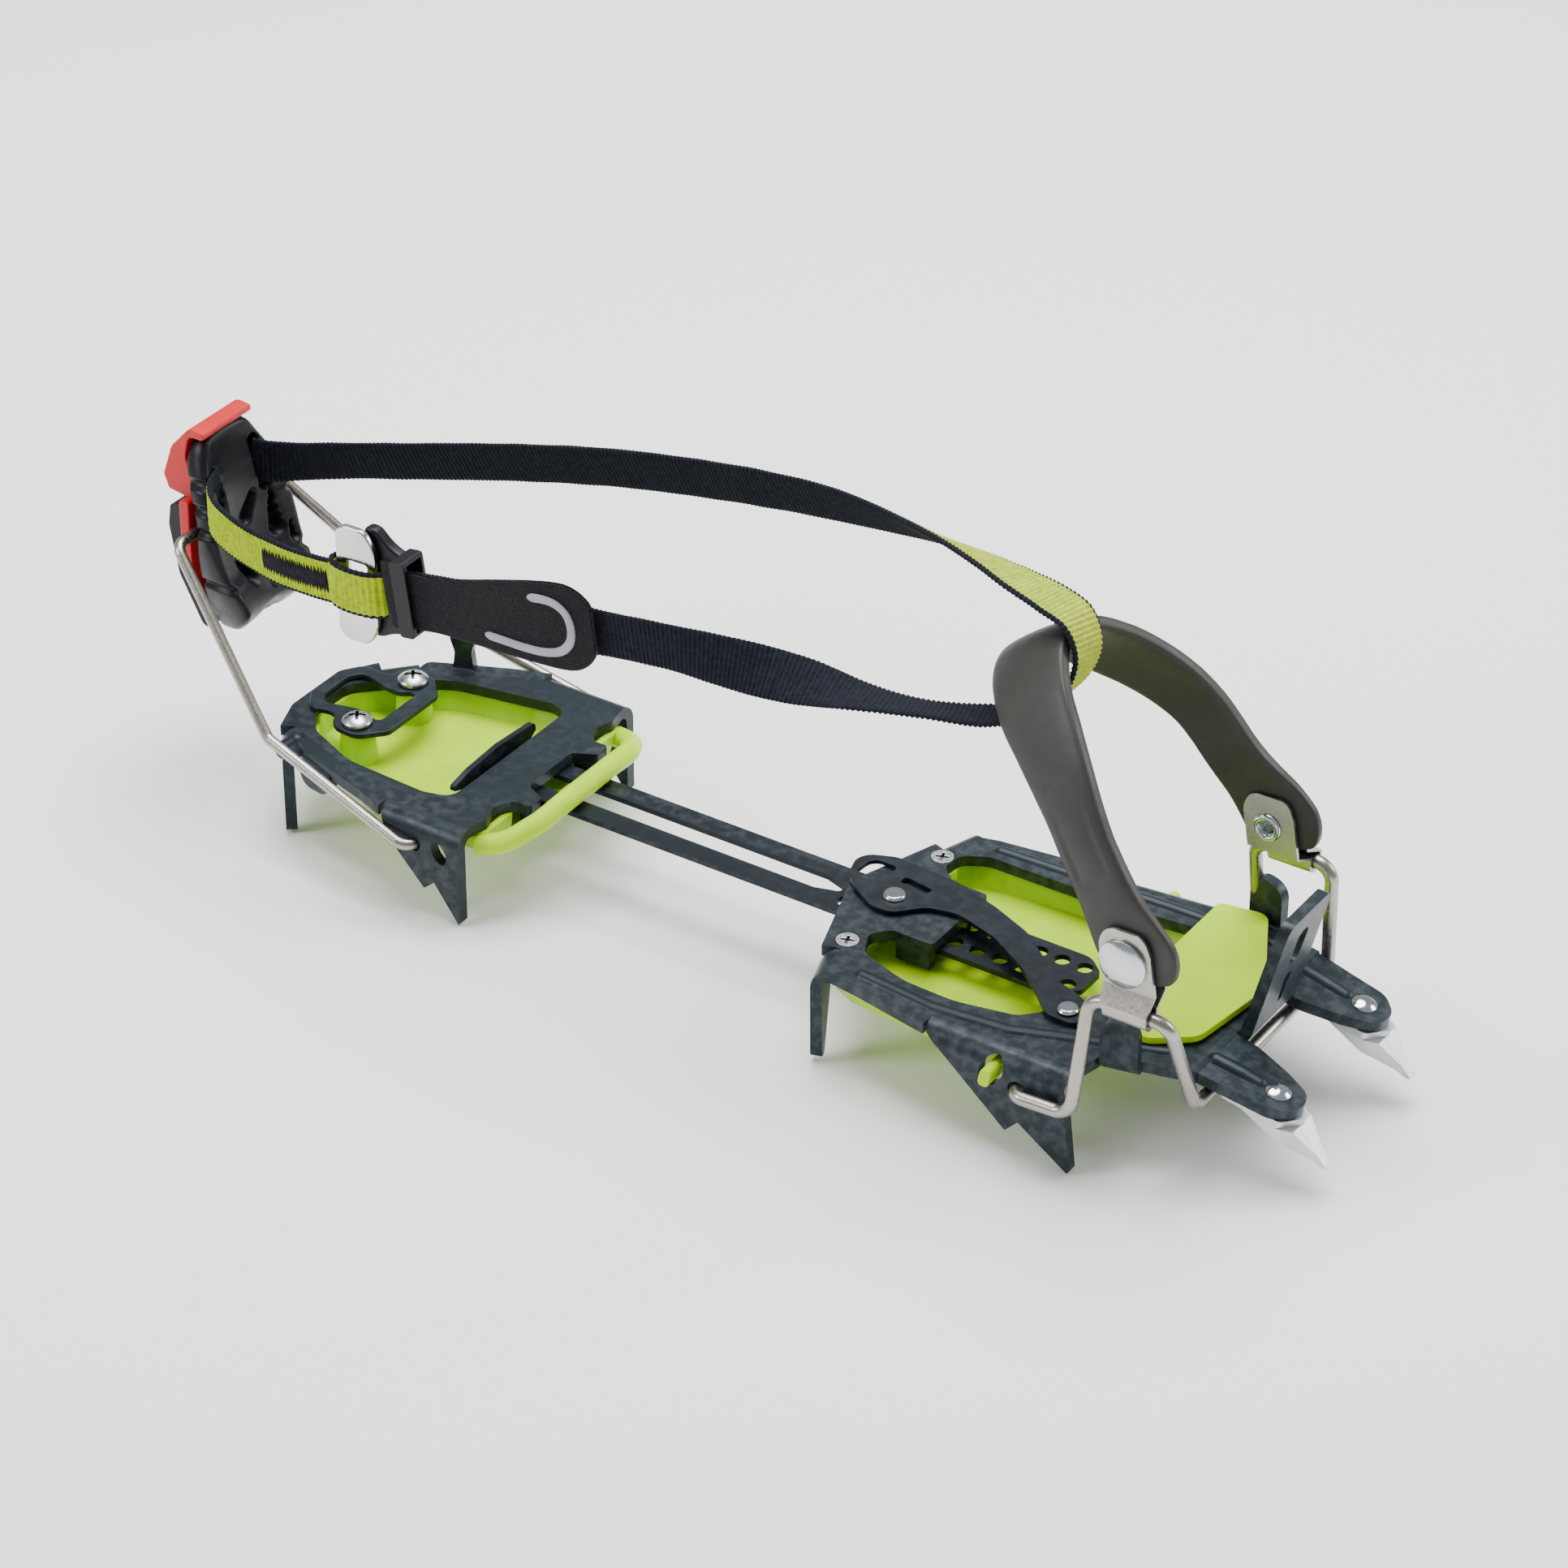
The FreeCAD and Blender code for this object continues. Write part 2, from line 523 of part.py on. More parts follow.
TOE_BAIL_TOP_Z = 24.0
TOE_BAIL_TOP_Y = (-39.3, 39.3)
BAND_END_Y = (-35.5, 32.5)   # the clips step inward to the ends of the band
CLIP_STEP_Z = 29.2


def toe_bail(extra=0.0):
    """One bent stainless wire: in through each flange hole, up to the clip and under the arms."""
    right = RIGHT_FLANGE_Y - 2.2
    left = left_edge(60.5) + 2.2
    top = TOE_BAIL_TOP_Z
    right_top, left_top = TOE_BAIL_TOP_Y
    points = [
        Vector(60.5, right + 6.4, -8.4), Vector(60.5, right, -8.4), Vector(76.6, right - 0.2, -7.6),
        Vector(77.8, right_top, top), Vector(99.0, right_top, top), Vector(99.7, -26.0, -6.6),
        Vector(99.7, 39.0, -6.6), Vector(99.0, left_top, top), Vector(77.8, left_top, top),
        Vector(76.6, left + 1.6, -7.6), Vector(60.5, left, -8.4), Vector(60.5, left - 6.4, -8.4),
    ]
    return wire_form(points, TOE_WIRE + extra, 4.5)


def toe_clip(side):
    """Stainless strip folded round the top of the bail, with two legs that hold the band."""
    wire_y = TOE_BAIL_TOP_Y[0] if side < 0 else TOE_BAIL_TOP_Y[1]
    band_y = BAND_END_Y[0] if side < 0 else BAND_END_Y[1]
    top = TOE_BAIL_TOP_Z
    front, rear, middle = 94.4, 82.8, SNAP.x
    face = [(rear, top), (front, top), (front, 29), (middle + 6.9, SNAP.z + 4, 6),
            (middle + 5.0, SNAP.z + 8.5, 5), (middle - 5.0, SNAP.z + 8.5, 5), (middle - 6.9, SNAP.z + 4, 6),
            (rear - 2.0, 29)]
    window = across(face, -60, 60)
    legs = []
    for offset in (-2.5, 2.5):
        low_y, high_y = wire_y + offset, band_y + offset
        leg = along([(low_y - 0.5, top), (low_y + 0.5, top), (low_y + 0.5, top + 1.7),
                     (high_y + 0.5, CLIP_STEP_Z), (high_y + 0.5, 60), (high_y - 0.5, 60),
                     (high_y - 0.5, CLIP_STEP_Z), (low_y - 0.5, top + 1.7)], rear - 8, front + 2)
        legs.append(leg.common(window))
    roll_outer = rod(Vector(rear, wire_y, top), Vector(front, wire_y, top), 3.0)
    roll_inner = rod(Vector(rear - 1, wire_y, top), Vector(front + 1, wire_y, top), 2.0)
    above = Part.makeBox(20, 4.0, 5, Vector(rear - 2, wire_y - 2.0, top))
    roll = roll_outer.cut(roll_inner).cut(above)
    clip = legs[0].fuse([legs[1], roll])
    hole = rod(Vector(middle, band_y - 6, SNAP.z), Vector(middle, band_y + 6, SNAP.z), SNAP_POST + 0.01)
    return clip.cut(hole).removeSplitter()


SNAP_POST = 2.5


def snap_rivet(side):
    """Rivet through clip and band: polished cap outside, rolled eyelet inside."""
    band_y = BAND_END_Y[0] if side < 0 else BAND_END_Y[1]
    outside = band_y + side * 3.05
    inside = band_y - side * 3.05
    low, high = sorted((inside, outside))
    post = rod(Vector(SNAP.x, low, SNAP.z), Vector(SNAP.x, high, SNAP.z), SNAP_POST)
    cap_low, cap_high = sorted((outside, outside + side * 2.2))
    cap = Part.makeSphere(15.0, Vector(SNAP.x, outside - side * 12.9, SNAP.z))
    cap = cap.common(rod(Vector(SNAP.x, cap_low, SNAP.z), Vector(SNAP.x, cap_high, SNAP.z), 6.2))
    eyelet = Part.makeTorus(2.9, 0.9, Vector(SNAP.x, inside, SNAP.z), Y_AXIS)
    half = Part.makeBox(12, 3, 12, Vector(SNAP.x - 6, inside if side < 0 else inside - 3, SNAP.z - 6))
    return post.fuse([cap, eyelet.common(half)])


def ribbon(route, thickness):
    """Flat strip. The route holds (centre, direction of the width, width) from end to end."""
    sections = []
    last = len(route) - 1
    for index, (centre, across_direction, width) in enumerate(route):
        forward = route[min(index + 1, last)][0] - route[max(index - 1, 0)][0]
        forward.normalize()
        side = across_direction - forward * across_direction.dot(forward)
        side.normalize()
        normal = forward.cross(side)
        a = side * (width / 2)
        b = normal * (thickness / 2)
        corners = [centre + a + b, centre - a + b, centre - a - b, centre + a - b]
        sections.append(Part.makePolygon(corners + [corners[0]]))
    spans = [Part.makeLoft(list(pair), True, True) for pair in zip(sections, sections[1:])]
    return spans[0].fuse(spans[1:])


BAND_THICKNESS = 3.0
LOBE_RADIUS = 9.6


def toe_band():
    """Moulded arch between the clips, leaning back over the instep."""
    middle_y = 0.5 * (BAND_END_Y[0] + BAND_END_Y[1])
    spread = 0.5 * (BAND_END_Y[1] - BAND_END_Y[0])
    half_arch = [(83.4, spread, 39.0, 16), (78.6, spread - 1.9, 45.2, 16), (74.8, spread - 3.0, 51, 15.5),
                 (71.0, spread - 3.7, 57, 15.5), (66.8, spread - 5.0, 63.5, 16), (61.5, spread - 8.2, 70.5, 17),
                 (55.2, spread - 12.5, 76.5, 18), (47.0, spread - 18.8, 82.0, 19), (41.5, spread - 26.0, 86.5, 20)]
    lean = Vector(0.80, 0, 0.60)
    right = [(Vector(x, middle_y - y, z), lean, width) for x, y, z, width in half_arch]
    left = [(Vector(x, middle_y + y, z), lean, width) for x, y, z, width in reversed(half_arch)]
    arch = ribbon(right + [(Vector(39.5, middle_y, 88.5), lean, 20)] + left, BAND_THICKNESS)
    half_thickness = BAND_THICKNESS / 2 + 0.1
    for band_y in BAND_END_Y:
        centre_x, centre_z = SNAP.x + 1.2, SNAP.z - 0.4
        lobe = rod(Vector(centre_x, band_y - half_thickness, centre_z),
                   Vector(centre_x, band_y + half_thickness, centre_z), LOBE_RADIUS)
        keep = across([(60, 29.6), (88.4, 29.6), (110, 37.5), (110, 60), (60, 60)], -60, 60)
        lobe = lobe.common(keep)
        arch = arch.fuse(lobe)
        arch = arch.cut(rod(Vector(SNAP.x, band_y - 8, SNAP.z), Vector(SNAP.x, band_y + 8, SNAP.z),
                            SNAP_POST + 0.08))
        for y_from, y_to in ((band_y - 12, band_y - half_thickness), (band_y + half_thickness, band_y + 12)):
            arch = arch.cut(rod(Vector(SNAP.x, y_from, SNAP.z), Vector(SNAP.x, y_to, SNAP.z), 11.5))
    return arch


# ---- rear plate ----

HEEL_FLANGE_Y = 38.5
HEEL_FLANGE_X = (-131.0, -105.6)
HEEL_POINT_RIGHT = (Vector(-174.2, -22.6, 0), Vector(-167.8, -30.3, 0))
HEEL_POINT_LEFT = (Vector(-165.6, 24.4, 0), Vector(-172.3, 17.0, 0))


def rear_deck():
    """Flat deck of the rear plate: a rounded trapezoid round one large window."""
    right_in = [inset(point, *HEEL_POINT_RIGHT, BEND) for point in HEEL_POINT_RIGHT]
    left_in = [inset(point, *HEEL_POINT_LEFT, BEND) for point in HEEL_POINT_LEFT]
    front_half = [
        (HEEL_FLANGE_X[0] - 9, -34.6, 8), (HEEL_FLANGE_X[0], -HEEL_FLANGE_Y + 0.7),
        (HEEL_FLANGE_X[0], -HEEL_FLANGE_Y + BEND),
        (HEEL_FLANGE_X[1], -HEEL_FLANGE_Y + BEND), (-104.4, -27.5, 3), (-106.2, -22, 4),
        (-103.5, -17.0, 3), (-98.6, -17.2, 1), (-98.6, -12.2, 1), (-104.6, -9.2, 2),
    ]
    heel_right = [(-178.6, -12, 5), (HEEL_POINT_RIGHT[0].x - 0.6, HEEL_POINT_RIGHT[0].y + 0.7),
                  (right_in[0].x, right_in[0].y), (right_in[1].x, right_in[1].y), (-162, -28.6, 5)]
    heel_left = [(-150, 30.2, 8), (-162, 24.6, 4), (left_in[0].x, left_in[0].y), (left_in[1].x, left_in[1].y),
                 (HEEL_POINT_LEFT[1].x, HEEL_POINT_LEFT[1].y), (-178.6, 7, 5)]
    edge = heel_right + front_half + mirrored(front_half, 0) + heel_left
    deck = slab(edge, -DECK, DECK)
    window = [(-173.0, -9, 7), (-166, -18.5, 8), (-150, -25.2, 20), (-125.5, -26.4, 4), (-118.0, -24.4, 4),
              (-117.6, -18, 5), (-117.2, 18, 5), (-117.2, 24, 3), (-122.0, 26.0, 4), (-150, 21.0, 20),
              (-163, 13.0, 8), (-172.6, 4, 7)]
    return deck.cut(slab(window, -10, 20))


def rear_plate():
    plate = rear_deck()
    rear, front = HEEL_FLANGE_X
    profile = [(-131.0, 2.0), (-131.0, -1.0), (-126.2, -9.6, 4), (-116.8, -19.6), (-113.6, -16.8),
               (-106.2, -POINT_LENGTH), (-105.6, -26.2, 0.5), (-105.6, 2.0)]
    right = bent_tab(Vector(rear, -HEEL_FLANGE_Y, 0), Vector(front, -HEEL_FLANGE_Y, 0),
                     [(point[0] - rear,) + tuple(point[1:]) for point in profile])
    left = right.mirror(NO_MOVE, Y_AXIS)
    plate = plate.fuse([right, left])
    pivot = HEEL_PIVOT
    for y_from, y_to in ((-45, -30), (30, 45)):
        plate = plate.cut(rod(Vector(pivot.x, y_from, pivot.z), Vector(pivot.x, y_to, pivot.z),
                              HEEL_WIRE / 2 + 0.5))
        plate = plate.cut(oval_hole(-111.8, -7.4, 3.3, 2.1, 25, y_from, y_to))
    # Diagonal points at the heel corners.
    width = (HEEL_POINT_RIGHT[1] - HEEL_POINT_RIGHT[0]).Length
    point = bent_tab(HEEL_POINT_RIGHT[0], HEEL_POINT_RIGHT[1],
                     [(0, 2), (width, 2), (width, -10), (width - 1.5, -POINT_LENGTH + 0.4, 1),
                      (width - 4.5, -POINT_LENGTH + 0.4, 1), (1.5, -9, 4), (0, -6)])
    gusset = bead([Vector(-167.8, -24.0, -1.6), Vector(-170.2, -26.0, -3.6)], 2.6)
    left_width = (HEEL_POINT_LEFT[1] - HEEL_POINT_LEFT[0]).Length
    left_point = bent_tab(HEEL_POINT_LEFT[0], HEEL_POINT_LEFT[1],
                          [(0, 2), (left_width, 2), (left_width, -6), (left_width - 1.5, -9, 4),
                           (4.5, -POINT_LENGTH + 0.4, 1), (1.5, -POINT_LENGTH + 0.4, 1), (0, -10)])
    plate = plate.fuse([point, left_point, gusset])
    # A lug bent up on the left edge and a rounded tab bent down on the right edge.
    lug = bent_tab(Vector(-148.5, 31.0, 0), Vector(-157.0, 28.2, 0),
                   [(1.2, 0.5), (7.8, 0.5), (6.8, -8, 3), (8.8, -14.5, 3), (0.6, -14.5, 3), (2.2, -8, 3)],
                   up=True, bend=4.0)
    tab = bent_tab(Vector(-162, -30.4, 0), Vector(-151, -32.4, 0),
                   [(0, 2), (11, 2), (11, -8.5, 4), (0, -8.5, 4)], bend=4.0)
    plate = plate.fuse([lug, tab])
    # Claws on the front edge, turned down beside the bar and under it.
    for side in (-1, 1):
        wall = slab([(-104, side * 9.3), (-98.6, side * 12.2), (-98.6, side * 17.2), (-104, side * 14)], -7.8, 5.2)
        foot = slab([(-103.5, side * 7.2), (-98.6, side * 7.2), (-98.6, side * 14), (-103.5, side * 12)], -7.6, 2.4)
        plate = plate.fuse([wall, foot])
    return plate.removeSplitter()


def rear_anti_balling_plate():
    """Flexible tray under the rear deck with a curved bumper rib in front."""
    floor_z, wall, top_z = -10.5, 1.8, -DECK - 0.1
    rim = [(-174.5, -9, 6), (-166.5, -21, 8), (-150, -27.5, 15), (-128, -31.6, 6), (-103.5, -31.0, 4),
           (-103.5, 31.0, 4), (-128, 30.6, 6), (-150, 24.5, 15), (-165, 15.5, 8), (-174.0, 5, 6)]
    floor_rim = [(point[0] * 0.97 - 3.9, point[1] * 0.9, point[2]) for point in rim]
    outer = Part.makeLoft([moved(outline(floor_rim), floor_z), moved(outline(rim), top_z)], True, True)
    inner_rim = [(point[0] * 0.945 - 7.4, point[1] * 0.93, point[2]) for point in rim]
    inner_floor = [(point[0] * 0.92 - 10.8, point[1] * 0.82, point[2]) for point in rim]
    inner = Part.makeLoft([moved(outline(inner_floor), floor_z + wall),
                           moved(outline(inner_rim), top_z + 0.1)], True, True)
    tray = outer.cut(inner)
    tray = tray.cut(Part.makeBox(14, 36, 12, Vector(-109, -18, -8.2)))
    for y in (-REAR_SCREW_Y, REAR_SCREW_Y):
        post = rod(Vector(REAR_SCREW_X, y, floor_z + 0.4), Vector(REAR_SCREW_X, y, 0.1), 5.2, 4.4)
        tray = tray.fuse(post)
        tray = tray.cut(rod(Vector(REAR_SCREW_X, y, floor_z - 1), Vector(REAR_SCREW_X, y, 5), 1.5))
    rib_half = [Vector(-105.5, 30.6, -6.6), Vector(-98.5, 28.0, -5.0), Vector(-93.6, 19.0, -1.4),
                Vector(-92.8, 11.0, -0.2)]
    rib = [Vector(at.x, -at.y, at.z) for at in rib_half] + list(reversed(rib_half))
    tray = tray.fuse(wire_form(rib, 5.6, 9.0))
    return tray.removeSplitter()


def retainer_frame():
    """Black plate that clamps the anti-balling plate, with a loop over the heel edge."""
    half = [(-177.0, -6.0, 4), (-172.5, -12.5, 4), (-165, -10.5, 5), (-162.6, -16.4, 5), (-154, -17.0, 5),
            (-148.0, -10.5, 3)]
    opening = [(-173.2, -4.8, 2.5), (-170.6, -8.4, 2.5), (-163, -6.4, 3), (-157.8, -6.0, 2), (-153.0, -9.0, 1.5)]
    frame = slab(half + mirrored(half, 0), 0.15, 1.6)
    frame = frame.cut(slab(opening + mirrored(opening, 0), -1, 4))
    for y in (-REAR_SCREW_Y, REAR_SCREW_Y):
        frame = frame.cut(rod(Vector(REAR_SCREW_X, y, -2), Vector(REAR_SCREW_X, y, 4), 1.7))
    return frame


def pan_screw(x, y):
    """Zinc-plated cross-head screw."""
    head = Part.makeSphere(5.6, Vector(x, y, -1.0))
    head = head.common(rod(Vector(x, y, 1.8), Vector(x, y, 4.6), 4.0))
    shank = rod(Vector(x, y, -9.0), Vector(x, y, 1.9), 1.45)
    screw = head.fuse(shank)
    for turn in (35, 125):
        slot = Part.makeBox(4.4, 0.9, 1.6, Vector(-2.2, -0.45, 3.2))
        slot.rotate(NO_MOVE, Z_AXIS, turn)
        slot.translate(Vector(x, y, 0))
        screw = screw.cut(slot)
    return screw


# ---- heel bail and lever ----

def heel_bail():
    """Stainless wire from one flange hole, round behind the lever, to the other."""
    half = [Vector(HEEL_PIVOT.x, 33.6, HEEL_PIVOT.z), Vector(HEEL_PIVOT.x, 41.4, HEEL_PIVOT.z),
            Vector(-167.0, 36.4, 6.5), Vector(LEVER_PIVOT.x, 21.4, LEVER_PIVOT.z)]
    points = [Vector(at.x, -at.y, at.z) for at in half] + list(reversed(half))
    return wire_form(points, HEEL_WIRE, 4.0)


def lever_front_view(inset_by):
    """Lever outline seen from the toe, smaller by inset_by on each side."""
    half = [(-3.5, 18.0, 3), (-5.5, 14.2, 2), (-11.0, 14.6, 3), (-13.6, 21, 4), (-15.6, 30, 8), (-16.8, 40, 10),
            (-16.2, 50, 10), (-13.6, 59, 8), (-8.6, 68.5, 6)]
    points = [(y + inset_by, z) + tuple(rest) for y, z, *rest in half]
    return points + [(-y, z) + tuple(rest) for y, z, *rest in reversed(points)]


LEVER_TOP = 68.5
LEVER_FOOT = 14.0
LEVER_BACK = [(-209.0, LEVER_TOP, 3), (-210.5, 62.5, 5), (-207.5, 55, 6), (-204.4, 48.5, 4), (-204.4, 37),
              (-203.5, 25, 6), (-201.5, LEVER_FOOT, 2)]
LEVER_WALL = 2.4


def heel_lever():
    """Concave plastic lever: back wall, side walls, strap slots and lightening windows."""
    front = [(-196.0, LEVER_FOOT, 2), (-195.5, 19, 3), (-189.5, 20.5, 3), (-189.5, 26, 3), (-194.5, 33, 6),
             (-197.0, 43, 10), (-199.0, 53, 10), (-203.5, 62, 6), (-204.5, LEVER_TOP, 2)]
    body = across(LEVER_BACK + front, -20, 20)
    body = body.common(along(lever_front_view(0), -230, -170))
    low, high = LEVER_FOOT + LEVER_WALL, LEVER_TOP - LEVER_WALL
    cavity = [(x + LEVER_WALL, min(max(z, low), high)) + tuple(rest) for x, z, *rest in LEVER_BACK]
    cavity += [(-170, low), (-170, high)]
    hollow = across(cavity, -20, 20).common(along(lever_front_view(2.2), -230, -160))
    body = body.cut(hollow)
    for side in (-1, 1):
        slot_low, slot_high = STRAP_SLOT_Z[side]
        body = body.cut(along([(side * STRAP_SLOT_Y[0], slot_low, 1), (side * STRAP_SLOT_Y[1], slot_low, 1),
                               (side * STRAP_SLOT_Y[1], slot_high, 1), (side * STRAP_SLOT_Y[0], slot_high, 1)],
                              -215, -200))
        body = body.cut(along([(side * 2.4, 36, 1.5), (side * 11.0, 38, 1.5), (side * 9.0, 44.5, 1.5),
                               (side * 2.4, 44.5, 1.5)], -215, -198))
        body = body.cut(along([(side * 2.4, 24, 1.5), (side * 9.0, 23, 1.5), (side * 11.0, 32, 1.5),
                               (side * 2.4, 32, 1.5)], -215, -198))
        for z, depth in ((31.0, 17.9), (46.0, 18.4), (52.0, 17.5), (58.0, 15.9)):
            body = body.cut(rod(Vector(-215, side * depth, z), Vector(-190, side * depth, z), 2.0))
    return body


def lever_guard():
    """Black cover on the lower back of the lever that keeps the spine in."""
    guard = across([(-211.4, 49, 1), (-215.5, 49, 2), (-216.5, 42, 8), (-214.0, 28, 6), (-207.0, 14.5, 3),
                    (-204.0, 14.5, 1), (-205.2, 19.0, 2), (-208.8, 24, 4), (-211.4, 30, 4)], -12, 12)
    foot = across([(-207.5, 21.0), (-206.0, 15.6), (-203.2, 15.6), (-203.7, 21.0)], -6, 6)
    return guard.fuse(foot)


def lever_spine():
    """Red height lock: a stepped spine that snaps over the wire at the back of the lever."""
    upper = across([(-204.8, 68.9, 1), (-204.8, 71.0, 1), (-209.5, 71.4, 3), (-215.8, 64.5, 4), (-219.0, 55.5, 2),
                    (-217.5, 51.4, 1), (-212.0, 50.6), (-207.9, 50.6), (-208.4, 54.0, 3), (-211.3, 62.5, 5),
                    (-209.8, 68.9, 2)], -10.0, 10.0)
    upper = upper.cut(rod(Vector(-222.5, -20, 65.5), Vector(-222.5, 20, 65.5), 6.6))
    lower = across([(-207.9, 51.5), (-211.1, 51.5), (-211.1, 30, 4), (-208.3, 24, 4), (-206.4, 22), (-205.4, 22),
                    (-207.9, 28, 3)], -14.0, 14.0)
    return upper.fuse(lower).removeSplitter()


# ---- straps and buckle ----

BUCKLE_Y = -26.0


def strap_point(x, y, z, lean=0.0):
    """Centre of the webbing, the direction of its width tipped by lean degrees, and its width."""
    turn = math.radians(lean)
    return Vector(x, y, z), Vector(0, math.sin(turn), math.cos(turn)), WEBBING_WIDTH


def long_strap_outward():
    """From the left slot of the lever forward to the toe band, over it and down."""
    return [
        strap_point(-204.0, 8.1, 56), strap_point(-200, 9.4, 55.8), strap_point(-193, 13.8, 55.8),
        strap_point(-184, 18.5, 56.8), strap_point(-165, 22.5, 60.6), strap_point(-133, 24.5, 69.4),
        strap_point(-102, 24, 78), strap_point(-76, 22, 84.5), strap_point(-50, 19.5, 90.5, -4),
        strap_point(-29, 17, 94.5, -14), strap_point(-11, 13, 97.5, -32), strap_point(8, 8.5, 99.8, -54),
        strap_point(22, 4.5, 100.4, -70), strap_point(32, 1.5, 99.6, -82),
    ]


def long_strap():
    """The one long webbing: lever, over the arch, back under it to the buckle."""
    over = [(Vector(41.5, -0.5, 99.4), Vector(0, -1, -0.1), WEBBING_WIDTH),
            (Vector(50.3, -2.0, 98.6), Vector(-0.1, -1, -0.05), WEBBING_WIDTH),
            (Vector(54.6, -3.6, 91.5), Vector(-0.2, -1, 0), WEBBING_WIDTH),
            (Vector(52.6, -5.4, 83.5), Vector(-0.3, -1, 0), WEBBING_WIDTH),
            (Vector(45.5, -8.0, 75.6), Vector(-0.3, -0.95, 0.0), WEBBING_WIDTH)]
    back = [strap_point(34, -11.5, 70.6, -86), strap_point(19, -17.0, 70.2, -76),
            strap_point(4, -21.5, 70.8, -86), strap_point(-12, -24, 70.8, -120),
            strap_point(-31, -26, 70.0, -155), strap_point(-50, -26.6, 68.8, -176),
            strap_point(-72, -26.8, 66.2, -180), strap_point(-96, -26.8, 63.2, -180),
            strap_point(-118, -26.6, 59.8, -180), strap_point(-127.5, -26.4, 58.2, -180)]
    return ribbon(long_strap_outward() + over + back, WEBBING_THICKNESS)


def short_strap():
    """Short sewn strap from the right slot of the lever to the buckle."""
    route = [strap_point(-204.0, -8.1, 53.4), strap_point(-199.6, -9.4, 53.2), strap_point(-195, -14.0, 52.6),
             strap_point(-189, -18.8, 52.0), strap_point(-181, -22.0, 51.6), strap_point(-169, -24.4, 51.8),
             strap_point(-157, -25.8, 53.0), strap_point(-149.6, -26.4, 54.0)]
    return ribbon(route, WEBBING_THICKNESS)


def tipped(shape):
    """The buckle and its tab climb gently to the toe with the webbing."""
    shape.rotate(Vector(-138, BUCKLE_Y, 56), Y_AXIS, -8)
    return shape


def webbing_loop():
    """Folded end of the short strap that holds both buckle rings."""
    band = across([(-149.5, 50), (-140.6, 50), (-140.6, 62), (-149.5, 62)], BUCKLE_Y - 3.4, BUCKLE_Y + 1.2)
    core = across([(-148.0, 49), (-141.9, 49), (-141.9, 63), (-148.0, 63)], BUCKLE_Y - 2.3, BUCKLE_Y)
    return tipped(band.cut(core))


def ring_plate(x_from, x_to, z_half, y_from, y_to, corner):
    """Flat ring of a double-ring buckle with flared ends."""
    centre_z = 56.0
    middle = 0.5 * (x_from + x_to)
    half = [(x_from, centre_z - z_half, corner), (x_to, centre_z - z_half, corner),
            (x_to - 1.2, centre_z - 8, 2)]
    edge = half + [(x, 2 * centre_z - z) + tuple(rest) for x, z, *rest in reversed(half)]
    edge += [(x_from + 1.2, centre_z + 8, 2), (x_from + 1.2, centre_z - 8, 2)]
    plate = across(edge, y_from, y_to)
    reach = 0.5 * (x_to - x_from) - 2.6
    window = across([(middle - reach, centre_z - 7, 0.8), (middle + reach, centre_z - 7, 0.8),
                     (middle + reach, centre_z + 7, 0.8), (middle - reach, centre_z + 7, 0.8)],
                    y_from - 1, y_to + 1)
    return tipped(plate.cut(window))


def pull_tab():
    """Flexible rubber tab on the webbing, wider at its rounded end."""
    tab = across([(-132.0, 50.4, 2), (-106, 49.3), (-74.0, 46.5, 10), (-66.0, 51, 8), (-66.0, 67, 8),
                  (-74.0, 71.5, 10), (-106, 67.0), (-132.0, 65.6, 2)], BUCKLE_Y - 4.4, BUCKLE_Y - 2.6)
    return tipped(tab)


def keeper():
    """Black loop that holds the tab against the webbing."""
    block = across([(-127.0, 47.0, 1), (-122.4, 47.0, 1), (-122.4, 68.0, 1), (-127.0, 68.0, 1)],
                   BUCKLE_Y - 6.2, BUCKLE_Y + 2.0)
    core = across([(-134, 48.2), (-115, 48.2), (-115, 66.8), (-134, 66.8)], BUCKLE_Y - 4.9, BUCKLE_Y + 0.9)
    return tipped(block.cut(core))


# ---- the object ----

front_screws = Part.makeCompound([countersunk_screw(0, -FRONT_SCREW_Y), countersunk_screw(0, FRONT_SCREW_Y)])
lock_rivet = rod(LOCK_PIVOT + Z_AXIS * -3.6, LOCK_PIVOT + Z_AXIS * 1.9, 1.6).fuse(
    rod(LOCK_PIVOT + Z_AXIS * 1.9, LOCK_PIVOT + Z_AXIS * 2.8, 2.9, 2.2))
front_steel = front_plate().cut(rod(LOCK_PIVOT - Z_AXIS * 9, LOCK_PIVOT + Z_AXIS, 1.62)).cut(toe_bail(0.15))
front_steel = front_steel.cut(front_screws)
rear_steel = rear_plate()
export("front_plate", front_steel)
export("front_anti_balling_plate", front_anti_balling_plate().cut(front_steel))
export("front_plate_screws", front_screws)
for side_name, side_sign in (("right", -1), ("left", 1)):
    export("point_tip_" + side_name, point_tip(side_sign))
    export("toe_clip_" + side_name, toe_clip(side_sign))
    export("band_snap_" + side_name, snap_rivet(side_sign))
export("point_tip_rivets", tip_rivets())
export("toe_bail", toe_bail())
export("toe_band", toe_band())
export("link_bar", link_bar())
export("lock_leaf", lock_leaf())
export("lock_pegs", lock_pegs())
export("lock_leaf_rivet", lock_rivet)
export("rear_plate", rear_steel)
export("rear_anti_balling_plate", rear_anti_balling_plate().cut(rear_steel))
export("retainer_frame", retainer_frame())
export("retainer_screws", Part.makeCompound(
    [pan_screw(REAR_SCREW_X, -REAR_SCREW_Y), pan_screw(REAR_SCREW_X, REAR_SCREW_Y)]))
export("heel_bail", heel_bail())
export("heel_lever", heel_lever())
export("lever_guard", lever_guard())
export("lever_spine", lever_spine())
export("long_strap", long_strap())
export("short_strap", short_strap())
export("webbing_loop", webbing_loop())
